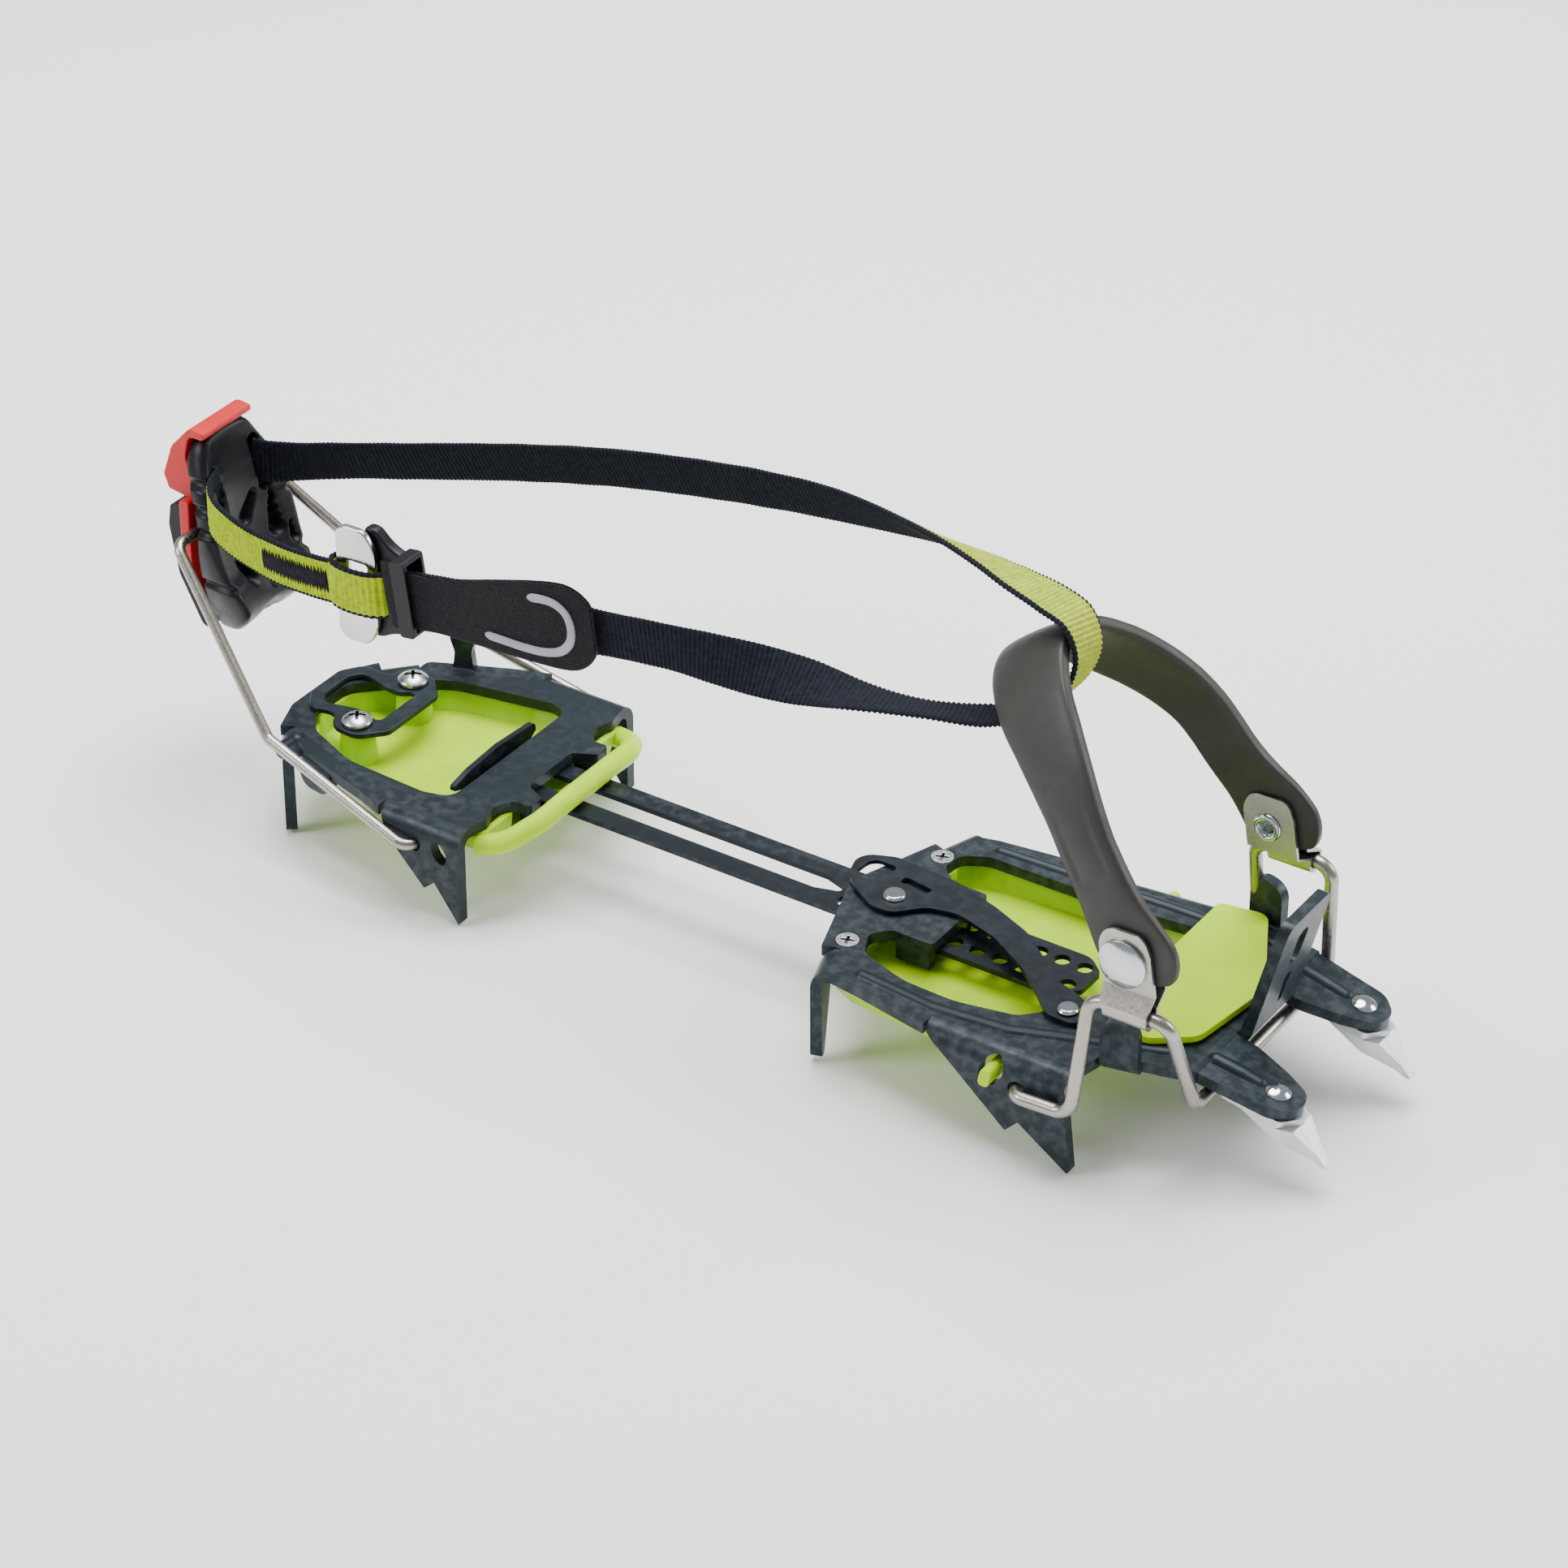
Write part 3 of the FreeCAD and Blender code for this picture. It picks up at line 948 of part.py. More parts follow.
export("metal_buckle_ring", ring_plate(-146.8, -137.4, 16.5, BUCKLE_Y - 2.0, BUCKLE_Y - 0.3, 3))
export("black_buckle_ring", ring_plate(-137.0, -128.2, 15.0, BUCKLE_Y - 0.2, BUCKLE_Y + 1.4, 3))
export("strap_keeper", keeper())
export("pull_tab", pull_tab())
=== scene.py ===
import math

import bpy
from mathutils import Matrix, Vector


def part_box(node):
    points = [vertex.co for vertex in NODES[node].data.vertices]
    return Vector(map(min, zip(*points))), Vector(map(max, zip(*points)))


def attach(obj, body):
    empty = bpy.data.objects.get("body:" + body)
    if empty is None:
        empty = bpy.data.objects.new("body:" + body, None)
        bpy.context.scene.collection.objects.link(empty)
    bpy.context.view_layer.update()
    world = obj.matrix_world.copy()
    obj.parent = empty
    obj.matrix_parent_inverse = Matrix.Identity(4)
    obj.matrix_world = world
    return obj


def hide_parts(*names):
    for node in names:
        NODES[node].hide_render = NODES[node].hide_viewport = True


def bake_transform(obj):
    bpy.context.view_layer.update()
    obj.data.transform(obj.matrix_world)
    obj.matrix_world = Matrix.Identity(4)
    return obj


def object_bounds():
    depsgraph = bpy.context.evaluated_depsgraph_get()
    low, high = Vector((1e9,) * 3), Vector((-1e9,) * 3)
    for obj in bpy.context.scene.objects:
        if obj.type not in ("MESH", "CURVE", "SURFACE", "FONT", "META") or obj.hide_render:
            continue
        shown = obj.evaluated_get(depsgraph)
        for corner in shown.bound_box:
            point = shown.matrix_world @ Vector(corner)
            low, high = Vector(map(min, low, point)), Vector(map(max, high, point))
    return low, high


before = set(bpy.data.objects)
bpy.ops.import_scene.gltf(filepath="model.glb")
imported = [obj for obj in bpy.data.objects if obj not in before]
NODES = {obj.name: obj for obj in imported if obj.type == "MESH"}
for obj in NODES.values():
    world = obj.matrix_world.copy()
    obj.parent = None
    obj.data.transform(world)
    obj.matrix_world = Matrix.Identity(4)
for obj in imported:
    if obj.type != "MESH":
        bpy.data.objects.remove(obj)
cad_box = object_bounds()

# Looks for a strap-on crampon. Places are in millimetres from the part's own datum, which is midway
# between the two rear screws of the front plate, on its deck: X to the toe, Y to the left, Z up.
MM = 0.001
screw_low, screw_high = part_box("front_plate_screws")
DATUM = Vector((0.5 * (screw_low.x + screw_high.x), 0.5 * (screw_low.y + screw_high.y), screw_high.z))


def at(x, y, z):
    """A place in metres in the row frame, from millimetres in the datum."""
    return DATUM + Vector((x, y, z)) * MM


# ---- materials ----

def new_material(name):
    """A node material with its nodes, links and main shader."""
    material = bpy.data.materials.new(name)
    material.use_nodes = True
    nodes = material.node_tree.nodes
    shader = nodes["Principled BSDF"]
    return material, nodes, material.node_tree.links, shader


def texture_space(nodes, links, stretch=(1, 1, 1)):
    """Object coordinates in metres, stretched along the axes."""
    coordinates = nodes.new("ShaderNodeTexCoord")
    mapping = nodes.new("ShaderNodeMapping")
    mapping.inputs["Scale"].default_value = stretch
    links.new(coordinates.outputs["Object"], mapping.inputs["Vector"])
    return mapping.outputs["Vector"]


NOISE_ROUGHNESS = 0.55


def noise(nodes, links, space, size_mm, detail=3.0):
    """Fractal noise with features of about size_mm."""
    node = nodes.new("ShaderNodeTexNoise")
    node.inputs["Scale"].default_value = 1.0 / (size_mm * MM)
    node.inputs["Detail"].default_value = detail
    node.inputs["Roughness"].default_value = NOISE_ROUGHNESS
    links.new(space, node.inputs["Vector"])
    return node.outputs["Fac"]


def spread(nodes, links, value, low, high, from_low=0.3, from_high=0.7):
    """Maps a texture's middle range to low..high."""
    node = nodes.new("ShaderNodeMapRange")
    sockets = ("From Min", "From Max", "To Min", "To Max")
    for socket, number in zip(sockets, (from_low, from_high, low, high)):
        node.inputs[socket].default_value = number
    links.new(value, node.inputs["Value"])
    return node.outputs["Result"]


def mixed(nodes, links, factor, first, second):
    """Colour between two colours or sockets."""
    node = nodes.new("ShaderNodeMix")
    node.data_type = "RGBA"
    links.new(factor, node.inputs["Factor"])
    # Its colour sockets are inputs 6 and 7 and output 2.
    for socket, value in ((node.inputs[6], first), (node.inputs[7], second)):
        if isinstance(value, bpy.types.NodeSocket):
            links.new(value, socket)
        else:
            socket.default_value = tuple(value) + (1.0,)
    return node.outputs[2]


def arithmetic(nodes, links, operation, first, second=0.0):
    """One step of arithmetic on numbers or sockets."""
    node = nodes.new("ShaderNodeMath")
    node.operation = operation
    for socket, value in zip(node.inputs, (first, second)):
        if isinstance(value, bpy.types.NodeSocket):
            links.new(value, socket)
        else:
            socket.default_value = value
    return node.outputs[0]


def bump(nodes, links, height, depth_mm, shader, after=None):
    """Surface relief of about depth_mm, added to the relief that comes before it."""
    node = nodes.new("ShaderNodeBump")
    node.inputs["Distance"].default_value = depth_mm * MM
    links.new(height, node.inputs["Height"])
    if after is not None:
        links.new(after, node.inputs["Normal"])
    links.new(node.outputs["Normal"], shader.inputs["Normal"])
    return node.outputs["Normal"]


# Pointiness is 0.5 on a flat face and larger on an outer edge.
WEAR_STARTS, WEAR_FULL = 0.52, 0.58
WEAR_STRENGTH = 0.12


def edge_wear(nodes, links, space):
    """One on sharp outer edges, broken up by noise, zero elsewhere."""
    geometry = nodes.new("ShaderNodeNewGeometry")
    edges = spread(nodes, links, geometry.outputs["Pointiness"], 0.0, 1.0, WEAR_STARTS, WEAR_FULL)
    patches = spread(nodes, links, noise(nodes, links, space, 3.0), 0.0, 1.0, 0.42, 0.62)
    return arithmetic(nodes, links, "MULTIPLY", edges, patches)


def coated_metal(name, dark, light, worn, metallic=0.35):
    """Anodised or painted sheet: soft colour drift, fine grain, scuffs and paler edges."""
    material, nodes, links, shader = new_material(name)
    space = texture_space(nodes, links)
    drift = spread(nodes, links, noise(nodes, links, space, 22.0, 2), 0, 1)
    colour = mixed(nodes, links, drift, dark, light)
    wear = edge_wear(nodes, links, space)
    colour = mixed(nodes, links, arithmetic(nodes, links, "MULTIPLY", wear, WEAR_STRENGTH), colour, worn)
    links.new(colour, shader.inputs["Base Color"])
    shader.inputs["Metallic"].default_value = metallic
    shader.inputs["Specular IOR Level"].default_value = 0.25
    scuffs = noise(nodes, links, texture_space(nodes, links, (1, 3.5, 1)), 2.2, 5)
    links.new(spread(nodes, links, scuffs, 0.34, 0.44), shader.inputs["Roughness"])
    grain = bump(nodes, links, noise(nodes, links, space, 0.55, 2), 0.014, shader)
    bump(nodes, links, noise(nodes, links, space, 9.0, 2), 0.05, shader, grain)
    return material


def bare_metal(name, colour, rough, stretch, grain_mm, depth_mm):
    """Unpainted metal with brush marks along the low-stretch axis and soft tarnish."""
    material, nodes, links, shader = new_material(name)
    marks = noise(nodes, links, texture_space(nodes, links, stretch), grain_mm, 4)
    cloud = noise(nodes, links, texture_space(nodes, links), 9.0, 3)
    darker = [0.72 * channel for channel in colour]
    links.new(mixed(nodes, links, spread(nodes, links, cloud, 0.35, 1.0), darker, colour),
              shader.inputs["Base Color"])
    shader.inputs["Metallic"].default_value = 1.0
    links.new(spread(nodes, links, marks, *rough), shader.inputs["Roughness"])
    bump(nodes, links, marks, depth_mm, shader)
    return material


def moulded(name, dark, light, rough, grain_mm, grain_depth, see_through=0.0, gloss=0.3):
    """Injection-moulded plastic or rubber: slight colour drift, fine grain, uneven gloss."""
    material, nodes, links, shader = new_material(name)
    space = texture_space(nodes, links)
    colour = mixed(nodes, links, spread(nodes, links, noise(nodes, links, space, 11.0), 0, 1), dark, light)
    links.new(colour, shader.inputs["Base Color"])
    links.new(spread(nodes, links, noise(nodes, links, space, 3.0, 4), *rough), shader.inputs["Roughness"])
    shader.inputs["Specular IOR Level"].default_value = gloss
    if see_through:
        shader.inputs["Subsurface Weight"].default_value = see_through
        shader.inputs["Subsurface Radius"].default_value = (0.9, 1.0, 0.25)
        shader.inputs["Subsurface Scale"].default_value = 0.004
    fine = bump(nodes, links, noise(nodes, links, space, grain_mm, 2), grain_depth, shader)
    bump(nodes, links, noise(nodes, links, space, 8.0, 2), 0.12, shader, fine)
    return material


def strip_coordinates(nodes, links):
    """A strip's own coordinates, in millimetres along it (X) and across it (Y)."""
    coordinates = nodes.new("ShaderNodeUVMap")
    coordinates.uv_map = "strip"
    split = nodes.new("ShaderNodeSeparateXYZ")
    links.new(coordinates.outputs["UV"], split.inputs["Vector"])
    return split.outputs["X"], split.outputs["Y"]


def ripple(nodes, links, distance, pitch_mm):
    """Sine wave with one crest every pitch_mm."""
    angle = arithmetic(nodes, links, "MULTIPLY", distance, 2 * math.pi / pitch_mm)
    return arithmetic(nodes, links, "SINE", angle)


THREAD_PITCH_ACROSS, THREAD_PITCH_ALONG = 0.62, 1.25


def woven(name, dark, light, sheen):
    """Polyamide webbing yarn: fine crossing threads over the ribs that the mesh carries."""
    material, nodes, links, shader = new_material(name)
    along, across = strip_coordinates(nodes, links)
    weave = arithmetic(nodes, links, "MULTIPLY", ripple(nodes, links, across, THREAD_PITCH_ACROSS),
                       ripple(nodes, links, along, THREAD_PITCH_ALONG))
    space = texture_space(nodes, links)
    fuzz = noise(nodes, links, space, 0.25, 4)
    height = arithmetic(nodes, links, "ADD", arithmetic(nodes, links, "MULTIPLY", weave, 0.5), fuzz)
    mottle = spread(nodes, links, noise(nodes, links, space, 1.4, 4), 0.0, 0.9)
    shade = arithmetic(nodes, links, "ADD", arithmetic(nodes, links, "MULTIPLY", weave, 0.22), mottle)
    links.new(mixed(nodes, links, shade, dark, light), shader.inputs["Base Color"])
    shader.inputs["Roughness"].default_value = 0.82
    shader.inputs["Specular IOR Level"].default_value = 0.15
    shader.inputs["Sheen Weight"].default_value = sheen
    shader.inputs["Sheen Roughness"].default_value = 0.4
    bump(nodes, links, height, 0.09, shader)
    return material


DIAMOND_PITCH = 1.25
DIAMOND_SLOPE = 1.15


def diamond_rubber(name):
    """Black rubber with a small raised diamond pattern on its face."""
    material, nodes, links, shader = new_material(name)
    along, across = strip_coordinates(nodes, links)
    diagonals = []
    for slope in (DIAMOND_SLOPE, -DIAMOND_SLOPE):
        shifted = arithmetic(nodes, links, "ADD", along, arithmetic(nodes, links, "MULTIPLY", across, slope))
        diagonals.append(ripple(nodes, links, shifted, DIAMOND_PITCH))
    pattern = arithmetic(nodes, links, "MULTIPLY", diagonals[0], diagonals[1])
    space = texture_space(nodes, links)
    raised = spread(nodes, links, pattern, 0, 1, -0.4, 0.9)
    links.new(mixed(nodes, links, raised, (0.0015, 0.002, 0.003), (0.010, 0.012, 0.018)),
              shader.inputs["Base Color"])
    patches = noise(nodes, links, space, 2.0, 4)
    links.new(spread(nodes, links, patches, 0.42, 0.6), shader.inputs["Roughness"])
    shader.inputs["Specular IOR Level"].default_value = 0.14
    bump(nodes, links, pattern, 0.16, shader)
    return material


def screw_metal(name, colour, rough):
    """Bright zinc with painted shade that darkens its recesses."""
    material, nodes, links, shader = new_material(name)
    space = texture_space(nodes, links)
    # Painted shade: ambient occlusion darkens the screw recesses to near black.
    recess_occlusion = nodes.new("ShaderNodeAmbientOcclusion")
    recess_occlusion.samples = 8
    recess_occlusion.inputs["Distance"].default_value = 1.4 * MM
    painted_recess_shade = spread(nodes, links, recess_occlusion.outputs["AO"], 0.0, 1.0, 0.45, 0.9)
    cloud = spread(nodes, links, noise(nodes, links, space, 3.0, 3), 0.0, 1.0)
    bright = mixed(nodes, links, cloud, [0.8 * channel for channel in colour], colour)
    links.new(mixed(nodes, links, painted_recess_shade, (0.03, 0.03, 0.035), bright), shader.inputs["Base Color"])
    shader.inputs["Metallic"].default_value = 1.0
    links.new(spread(nodes, links, noise(nodes, links, space, 0.8, 3), *rough), shader.inputs["Roughness"])
    bump(nodes, links, noise(nodes, links, space, 1.2, 2), 0.004, shader)
    return material


PLATE = coated_metal("coated_plate", (0.010, 0.017, 0.022), (0.014, 0.023, 0.029), (0.20, 0.23, 0.26))
BAR = coated_metal("coated_bar", (0.004, 0.008, 0.012), (0.007, 0.012, 0.018), (0.16, 0.19, 0.22), 0.3)
LIME = moulded("lime_plastic", (0.39, 0.63, 0.001), (0.45, 0.71, 0.002), (0.34, 0.46), 0.6, 0.008, 0.2, 0.16)
WIRE = bare_metal("drawn_wire", (0.40, 0.375, 0.34), (0.24, 0.38), (1, 1, 1), 0.6, 0.012)
TIP = bare_metal("ground_steel", (0.62, 0.63, 0.64), (0.30, 0.48), (0.25, 3, 3), 0.4, 0.010)
CLIP = bare_metal("pressed_steel", (0.42, 0.395, 0.365), (0.26, 0.42), (1, 1, 1), 0.8, 0.012)
ZINC = screw_metal("zinc_plate", (0.70, 0.72, 0.75), (0.22, 0.34))
POLISHED = bare_metal("polished_rivet", (0.60, 0.63, 0.68), (0.08, 0.18), (1, 1, 1), 1.5, 0.003)
SILVER = bare_metal("satin_buckle", (0.66, 0.65, 0.63), (0.14, 0.26), (1, 1, 1), 0.8, 0.006)
BAND = moulded("band_rubber", (0.029, 0.027, 0.025), (0.037, 0.035, 0.032), (0.38, 0.48), 0.30, 0.012,
               gloss=0.26)
BLACK = moulded("black_nylon", (0.0025, 0.003, 0.005), (0.005, 0.006, 0.009), (0.30, 0.42), 0.5, 0.010,
                gloss=0.22)
RED = moulded("red_nylon", (0.44, 0.006, 0.008), (0.52, 0.012, 0.013), (0.34, 0.46), 0.5, 0.008, 0.05)
GREY_INLAY = moulded("grey_inlay", (0.26, 0.27, 0.30), (0.36, 0.37, 0.40), (0.45, 0.6), 0.35, 0.03)
WEB_BLACK = woven("webbing_black", (0.002, 0.003, 0.007), (0.010, 0.013, 0.022), 0.04)
WEB_LIME = woven("webbing_lime", (0.24, 0.34, 0.001), (0.46, 0.60, 0.004), 0.0)
WEB_PALE = woven("webbing_pale", (0.26, 0.33, 0.02), (0.46, 0.54, 0.06), 0.0)
THREAD = woven("stitch_thread", (0.003, 0.003, 0.006), (0.014, 0.013, 0.020), 0.05)
RUBBER = diamond_rubber("tab_rubber")


# ---- the CAD nodes that stay ----

BEVEL_ANGLE = 35
BEVEL_SEGMENTS = 2


def finish_node(name, material, bevel_mm):
    """Gives a CAD node its material and small rounded edges."""
    node = NODES[name]
    node.data.materials.clear()
    node.data.materials.append(material)
    for face in node.data.polygons:
        face.use_smooth = True
    weld = node.modifiers.new("weld", "WELD")
    weld.merge_threshold = 2e-6
    flatten = node.modifiers.new("flatten", "DECIMATE")
    flatten.decimate_type = "DISSOLVE"
    flatten.angle_limit = math.radians(0.6)
    if bevel_mm:
        bevel = node.modifiers.new("round_edges", "BEVEL")
        bevel.limit_method = "ANGLE"
        bevel.angle_limit = math.radians(BEVEL_ANGLE)
        bevel.width = bevel_mm * MM
        bevel.segments = BEVEL_SEGMENTS
        bevel.use_clamp_overlap = True
        bevel.harden_normals = False
    normals = node.modifiers.new("normals", "WEIGHTED_NORMAL")
    normals.keep_sharp = True
    normals.weight = 60


# Each node's material, and the width of its rounded edges in millimetres.
KEPT = {
    "front_plate": (PLATE, 0.45), "rear_plate": (PLATE, 0.45), "retainer_frame": (PLATE, 0.35),
    "front_anti_balling_plate": (LIME, 0.8), "rear_anti_balling_plate": (LIME, 0.5),
    "front_plate_screws": (ZINC, 0.12), "retainer_screws": (ZINC, 0.25),
    "point_tip_right": (TIP, 0.25), "point_tip_left": (TIP, 0.25), "point_tip_rivets": (POLISHED, 0.3),
    "toe_bail": (WIRE, 0.0), "heel_bail": (WIRE, 0.0),
    "toe_clip_right": (CLIP, 0.2), "toe_clip_left": (CLIP, 0.2),
    "band_snap_right": (POLISHED, 0.4), "band_snap_left": (POLISHED, 0.2),
    "lock_leaf_rivet": (POLISHED, 0.3), "lock_pegs": (POLISHED, 0.35),
    "link_bar": (BAR, 0.2), "lock_leaf": (BAR, 0.3),
    "lever_guard": (BLACK, 1.0), "lever_spine": (RED, 1.0), "strap_keeper": (BLACK, 0.4),
}
for node_name, (node_material, edge) in KEPT.items():
    finish_node(node_name, node_material, edge)


# ---- soft strips: webbing, band and tab ----

def make_mesh(name, vertices, faces, materials, face_slots=None, smooth=True):
    """An object in the scene from vertices in metres and faces."""
    mesh = bpy.data.meshes.new(name)
    mesh.from_pydata([tuple(v) for v in vertices], [], faces)
    for material in materials:
        mesh.materials.append(material)
    if face_slots:
        mesh.polygons.foreach_set("material_index", face_slots)
    mesh.polygons.foreach_set("use_smooth", [smooth] * len(mesh.polygons))
    mesh.update()
    piece = bpy.data.objects.new(name, mesh)
    bpy.context.scene.collection.objects.link(piece)
    return piece


def tube_faces(rows, around, first=0):
    """Faces round a tube whose rows have around vertices each, and its two end caps."""
    faces = []
    for row in range(rows - 1):
        start = first + row * around
        for k in range(around):
            a, b = start + k, start + (k + 1) % around
            faces.append((a, b, b + around, a + around))
    last = first + (rows - 1) * around
    faces.append(tuple(reversed(range(first, first + around))))
    faces.append(tuple(range(last, last + around)))
    return faces


def lay_strip_coordinates(piece, places):
    """Stores each vertex's place along and across its strip for the strip materials."""
    layer = piece.data.uv_layers.new(name="strip")
    for corner in piece.data.loops:
        layer.data[corner.index].uv = places[corner.vertex_index]


FINE_STEPS = 24


def curve_through(points, count):
    """Even steps along a centripetal Catmull-Rom curve. Each point is a tuple of numbers."""
    def blend(a, b, t):
        return [x + (y - x) * t for x, y in zip(a, b)]

    head = [[2 * a - b for a, b in zip(points[0], points[1])]]
    tail = [[2 * a - b for a, b in zip(points[-1], points[-2])]]
    knots = head + [list(p) for p in points] + tail
    fine = []
    for i in range(1, len(knots) - 2):
        group = knots[i - 1:i + 3]
        times_at = [0.0]
        for a, b in zip(group, group[1:]):
            gap = math.dist(a[:3], b[:3])
            times_at.append(times_at[-1] + max(gap, 1e-6) ** 0.5)
        for step in range(FINE_STEPS):
            t = times_at[1] + (times_at[2] - times_at[1]) * step / FINE_STEPS
            a = [blend(group[k], group[k + 1], (t - times_at[k]) / (times_at[k + 1] - times_at[k]))
                 for k in range(3)]
            b = [blend(a[k], a[k + 1], (t - times_at[k]) / (times_at[k + 2] - times_at[k])) for k in range(2)]
            fine.append(blend(b[0], b[1], (t - times_at[1]) / (times_at[2] - times_at[1])))
    fine.append(list(points[-1]))
    lengths = [0.0]
    for a, b in zip(fine, fine[1:]):
        lengths.append(lengths[-1] + math.dist(a[:3], b[:3]))
    result, k = [], 0
    for step in range(count + 1):
        wanted = lengths[-1] * step / count
        while k < len(lengths) - 2 and lengths[k + 1] < wanted:
            k += 1
        share = (wanted - lengths[k]) / max(lengths[k + 1] - lengths[k], 1e-9)
        result.append((wanted, blend(fine[k], fine[k + 1], min(max(share, 0), 1))))
    return result


def frames_along(route, step_mm):
    """Rows of (length so far, centre, forward, side, normal, extra) along a route.

    The route's points are (x, y, z), the direction of the width (x, y, z), and any extra numbers.
    """
    rough = curve_through(route, 400)
    count = max(8, int(rough[-1][0] / step_mm))
    steps = curve_through(route, count)
    made = []
    for index, (length, values) in enumerate(steps):
        before = Vector(steps[max(index - 1, 0)][1][:3])
        after = Vector(steps[min(index + 1, count)][1][:3])
        forward = (after - before).normalized()
        side = Vector(values[3:6])
        side = (side - forward * side.dot(forward)).normalized()
        made.append((length, Vector(values[:3]), forward, side, forward.cross(side), values[6:]))
    return made


RIB_PITCH = 1.25
WEB_HALF_WIDTH = 6.2
WEB_THICKNESS = 1.3
RIB_HEIGHT = 0.34


def tipped(x, y, z, lean=0.0):
    """A place on a strap and the direction of its width, turned from upright by lean degrees."""
    turn = math.radians(lean)
    return (x, y, z, 0.0, math.sin(turn), math.cos(turn))


def webbing(name, frames, face_a, face_b, edge, width=WEB_HALF_WIDTH, pitch=RIB_PITCH):
    """Ribbed strip with rolled selvedges. Face a is on the normal's side, face b on the other."""
    columns = (-1.0, -0.94, -0.84, -0.5, 0.0, 0.5, 0.84, 0.94, 1.0)
    inner_columns = (2, 3, 4, 5)
    vertices, places = [], []
    half = WEB_THICKNESS / 2
    for length, centre, forward, side, normal, extra in frames:
        wave = 0.5 + 0.5 * math.cos(2 * math.pi * length / pitch)
        selvedge = 0.16 * wave + 0.10 * math.sin(length * 0.37) * math.sin(length * 0.051)
        ring = []
        for sign in (1, -1):
            for column in (columns if sign > 0 else reversed(columns)):
                body = 1.0 if abs(column) < 0.9 else (0.75 if abs(column) < 0.97 else 0.35)
                rib = RIB_HEIGHT * (wave - 0.5) * (1.0 if abs(column) < 0.97 else 0.3)
                lift = sign * (half * body + rib)
                reach = column * width
                if abs(column) > 0.8:
                    reach += math.copysign(selvedge, column)
                ring.append((centre + side * reach + normal * lift, (length, sign * (reach + 10))))
        vertices.extend(at(*place) for place, uv in ring)
        places.extend(uv for place, uv in ring)
    around = 2 * len(columns)
    row_slots = []
    for k in range(around):
        on_edge = k % len(columns) not in inner_columns
        row_slots.append(2 if on_edge else (0 if k < len(columns) else 1))
    slots = row_slots * (len(frames) - 1) + [2, 2]
    faces = tube_faces(len(frames), around)
    piece = make_mesh(name, vertices, faces, (face_a, face_b, edge), slots)
    lay_strip_coordinates(piece, places)
    return piece


def row_at(frames, length):
    """Number of the row of a strip that is nearest to a length along it."""
    step = frames[1][0] - frames[0][0]
    return min(max(round(length / step), 0), len(frames) - 1)


def between(frames, first, last):
    """The stretch of a strip from the length first to last, with shared ends."""
    return frames[row_at(frames, first):row_at(frames, last) + 1]


def length_at(frames, x, from_length=0.0, rising=True):
    """Length along a strip where it first passes x after from_length."""
    for length, centre, *rest in frames:
        if length >= from_length and ((centre.x >= x) if rising else (centre.x <= x)):
            return length
    return frames[-1][0]


# Long webbing: left slot of the lever, forward, over the band, back under it to the buckle.
BUCKLE_Y = -26.0
LONG_ROUTE = [
    tipped(-203.6, 8.1, 56), tipped(-200, 9.4, 55.8, -4), tipped(-193, 13.8, 55.8, -12),
    tipped(-184, 18.2, 56.8, -16), tipped(-165, 22.5, 60.6, -17), tipped(-133, 24.5, 69.4, -17),
    tipped(-102, 24, 78, -16), tipped(-76, 22, 84.5, -16), tipped(-50, 19.5, 90.2, -18),
    tipped(-29, 17, 94.0, -24), tipped(-11, 13, 97.2, -38), tipped(8, 8.5, 99.7, -56),
    tipped(22, 4.5, 100.6, -70), tipped(32, 1.5, 100.6, -82), tipped(41.5, -0.4, 99.8, -90),
    tipped(49.6, -2.0, 97.6, -90), tipped(53.4, -3.6, 91.5, -90), tipped(51.8, -5.4, 83.5, -90),
    tipped(45.0, -8.0, 75.8, -90), tipped(34, -11.5, 71.0, -86), tipped(19, -17.0, 70.2, -76),
    tipped(4, -21.5, 70.6, -86), tipped(-12, -24, 70.8, -120), tipped(-31, -25.4, 70.0, -160),
    tipped(-50, -26.2, 68.8, -180), tipped(-72, -26.8, 66.2, -180), tipped(-96, -26.8, 63.2, -180),
    tipped(-118, -26.6, 59.8, -180), tipped(-128.5, -26.4, 58.0, -180),
]
long_frames = frames_along(LONG_ROUTE, RIB_PITCH / 6)
over = length_at(long_frames, 30.0)
apex = length_at(long_frames, 50.0)
under = length_at(long_frames, 31.0, apex, False)
# Where each stretch ends, in order, with the bodies it runs from and to.
leaves_lever = length_at(long_frames, -188)
passes_heel = length_at(long_frames, -120)
passes_toe = length_at(long_frames, -30)
returns_toe = length_at(long_frames, 8, under, False)
returns_heel = length_at(long_frames, -62, under, False)
LONG_STRETCHES = (
    ("strap_lever_end", 0.0, leaves_lever, "lever", "heel_wire"),
    ("strap_heel_side", leaves_lever, passes_heel, "heel_wire", "heel_section"),
    ("strap_middle_left", passes_heel, passes_toe, "heel_section", "front_section"),
    ("strap_toe_left", passes_toe, over, "front_section", "band"),
    ("strap_band_loop", over, under, "band", None),
    ("strap_toe_right", under, returns_toe, "band", "front_section"),
    ("strap_middle_right", returns_toe, returns_heel, "front_section", "heel_section"),
    ("strap_buckle_side", returns_heel, long_frames[-1][0], "heel_section", "buckle"),
)


def place_stretch(name, frames, first, last, body, next_body, looks):
    """One stretch of a strap, attached to its body when no next body is given, else left fixed in place."""
    stretch = between(frames, first, last)
    piece = webbing(name, stretch, *looks)
    if next_body is None:
        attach(piece, body)
    else:
        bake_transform(piece)
    return piece


for name, first, last, body, next_body in LONG_STRETCHES:
    looks = (WEB_BLACK, WEB_PALE, WEB_BLACK)
    stretch_piece = place_stretch(name, long_frames, first, last, body, next_body, looks)
    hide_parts("long_strap")

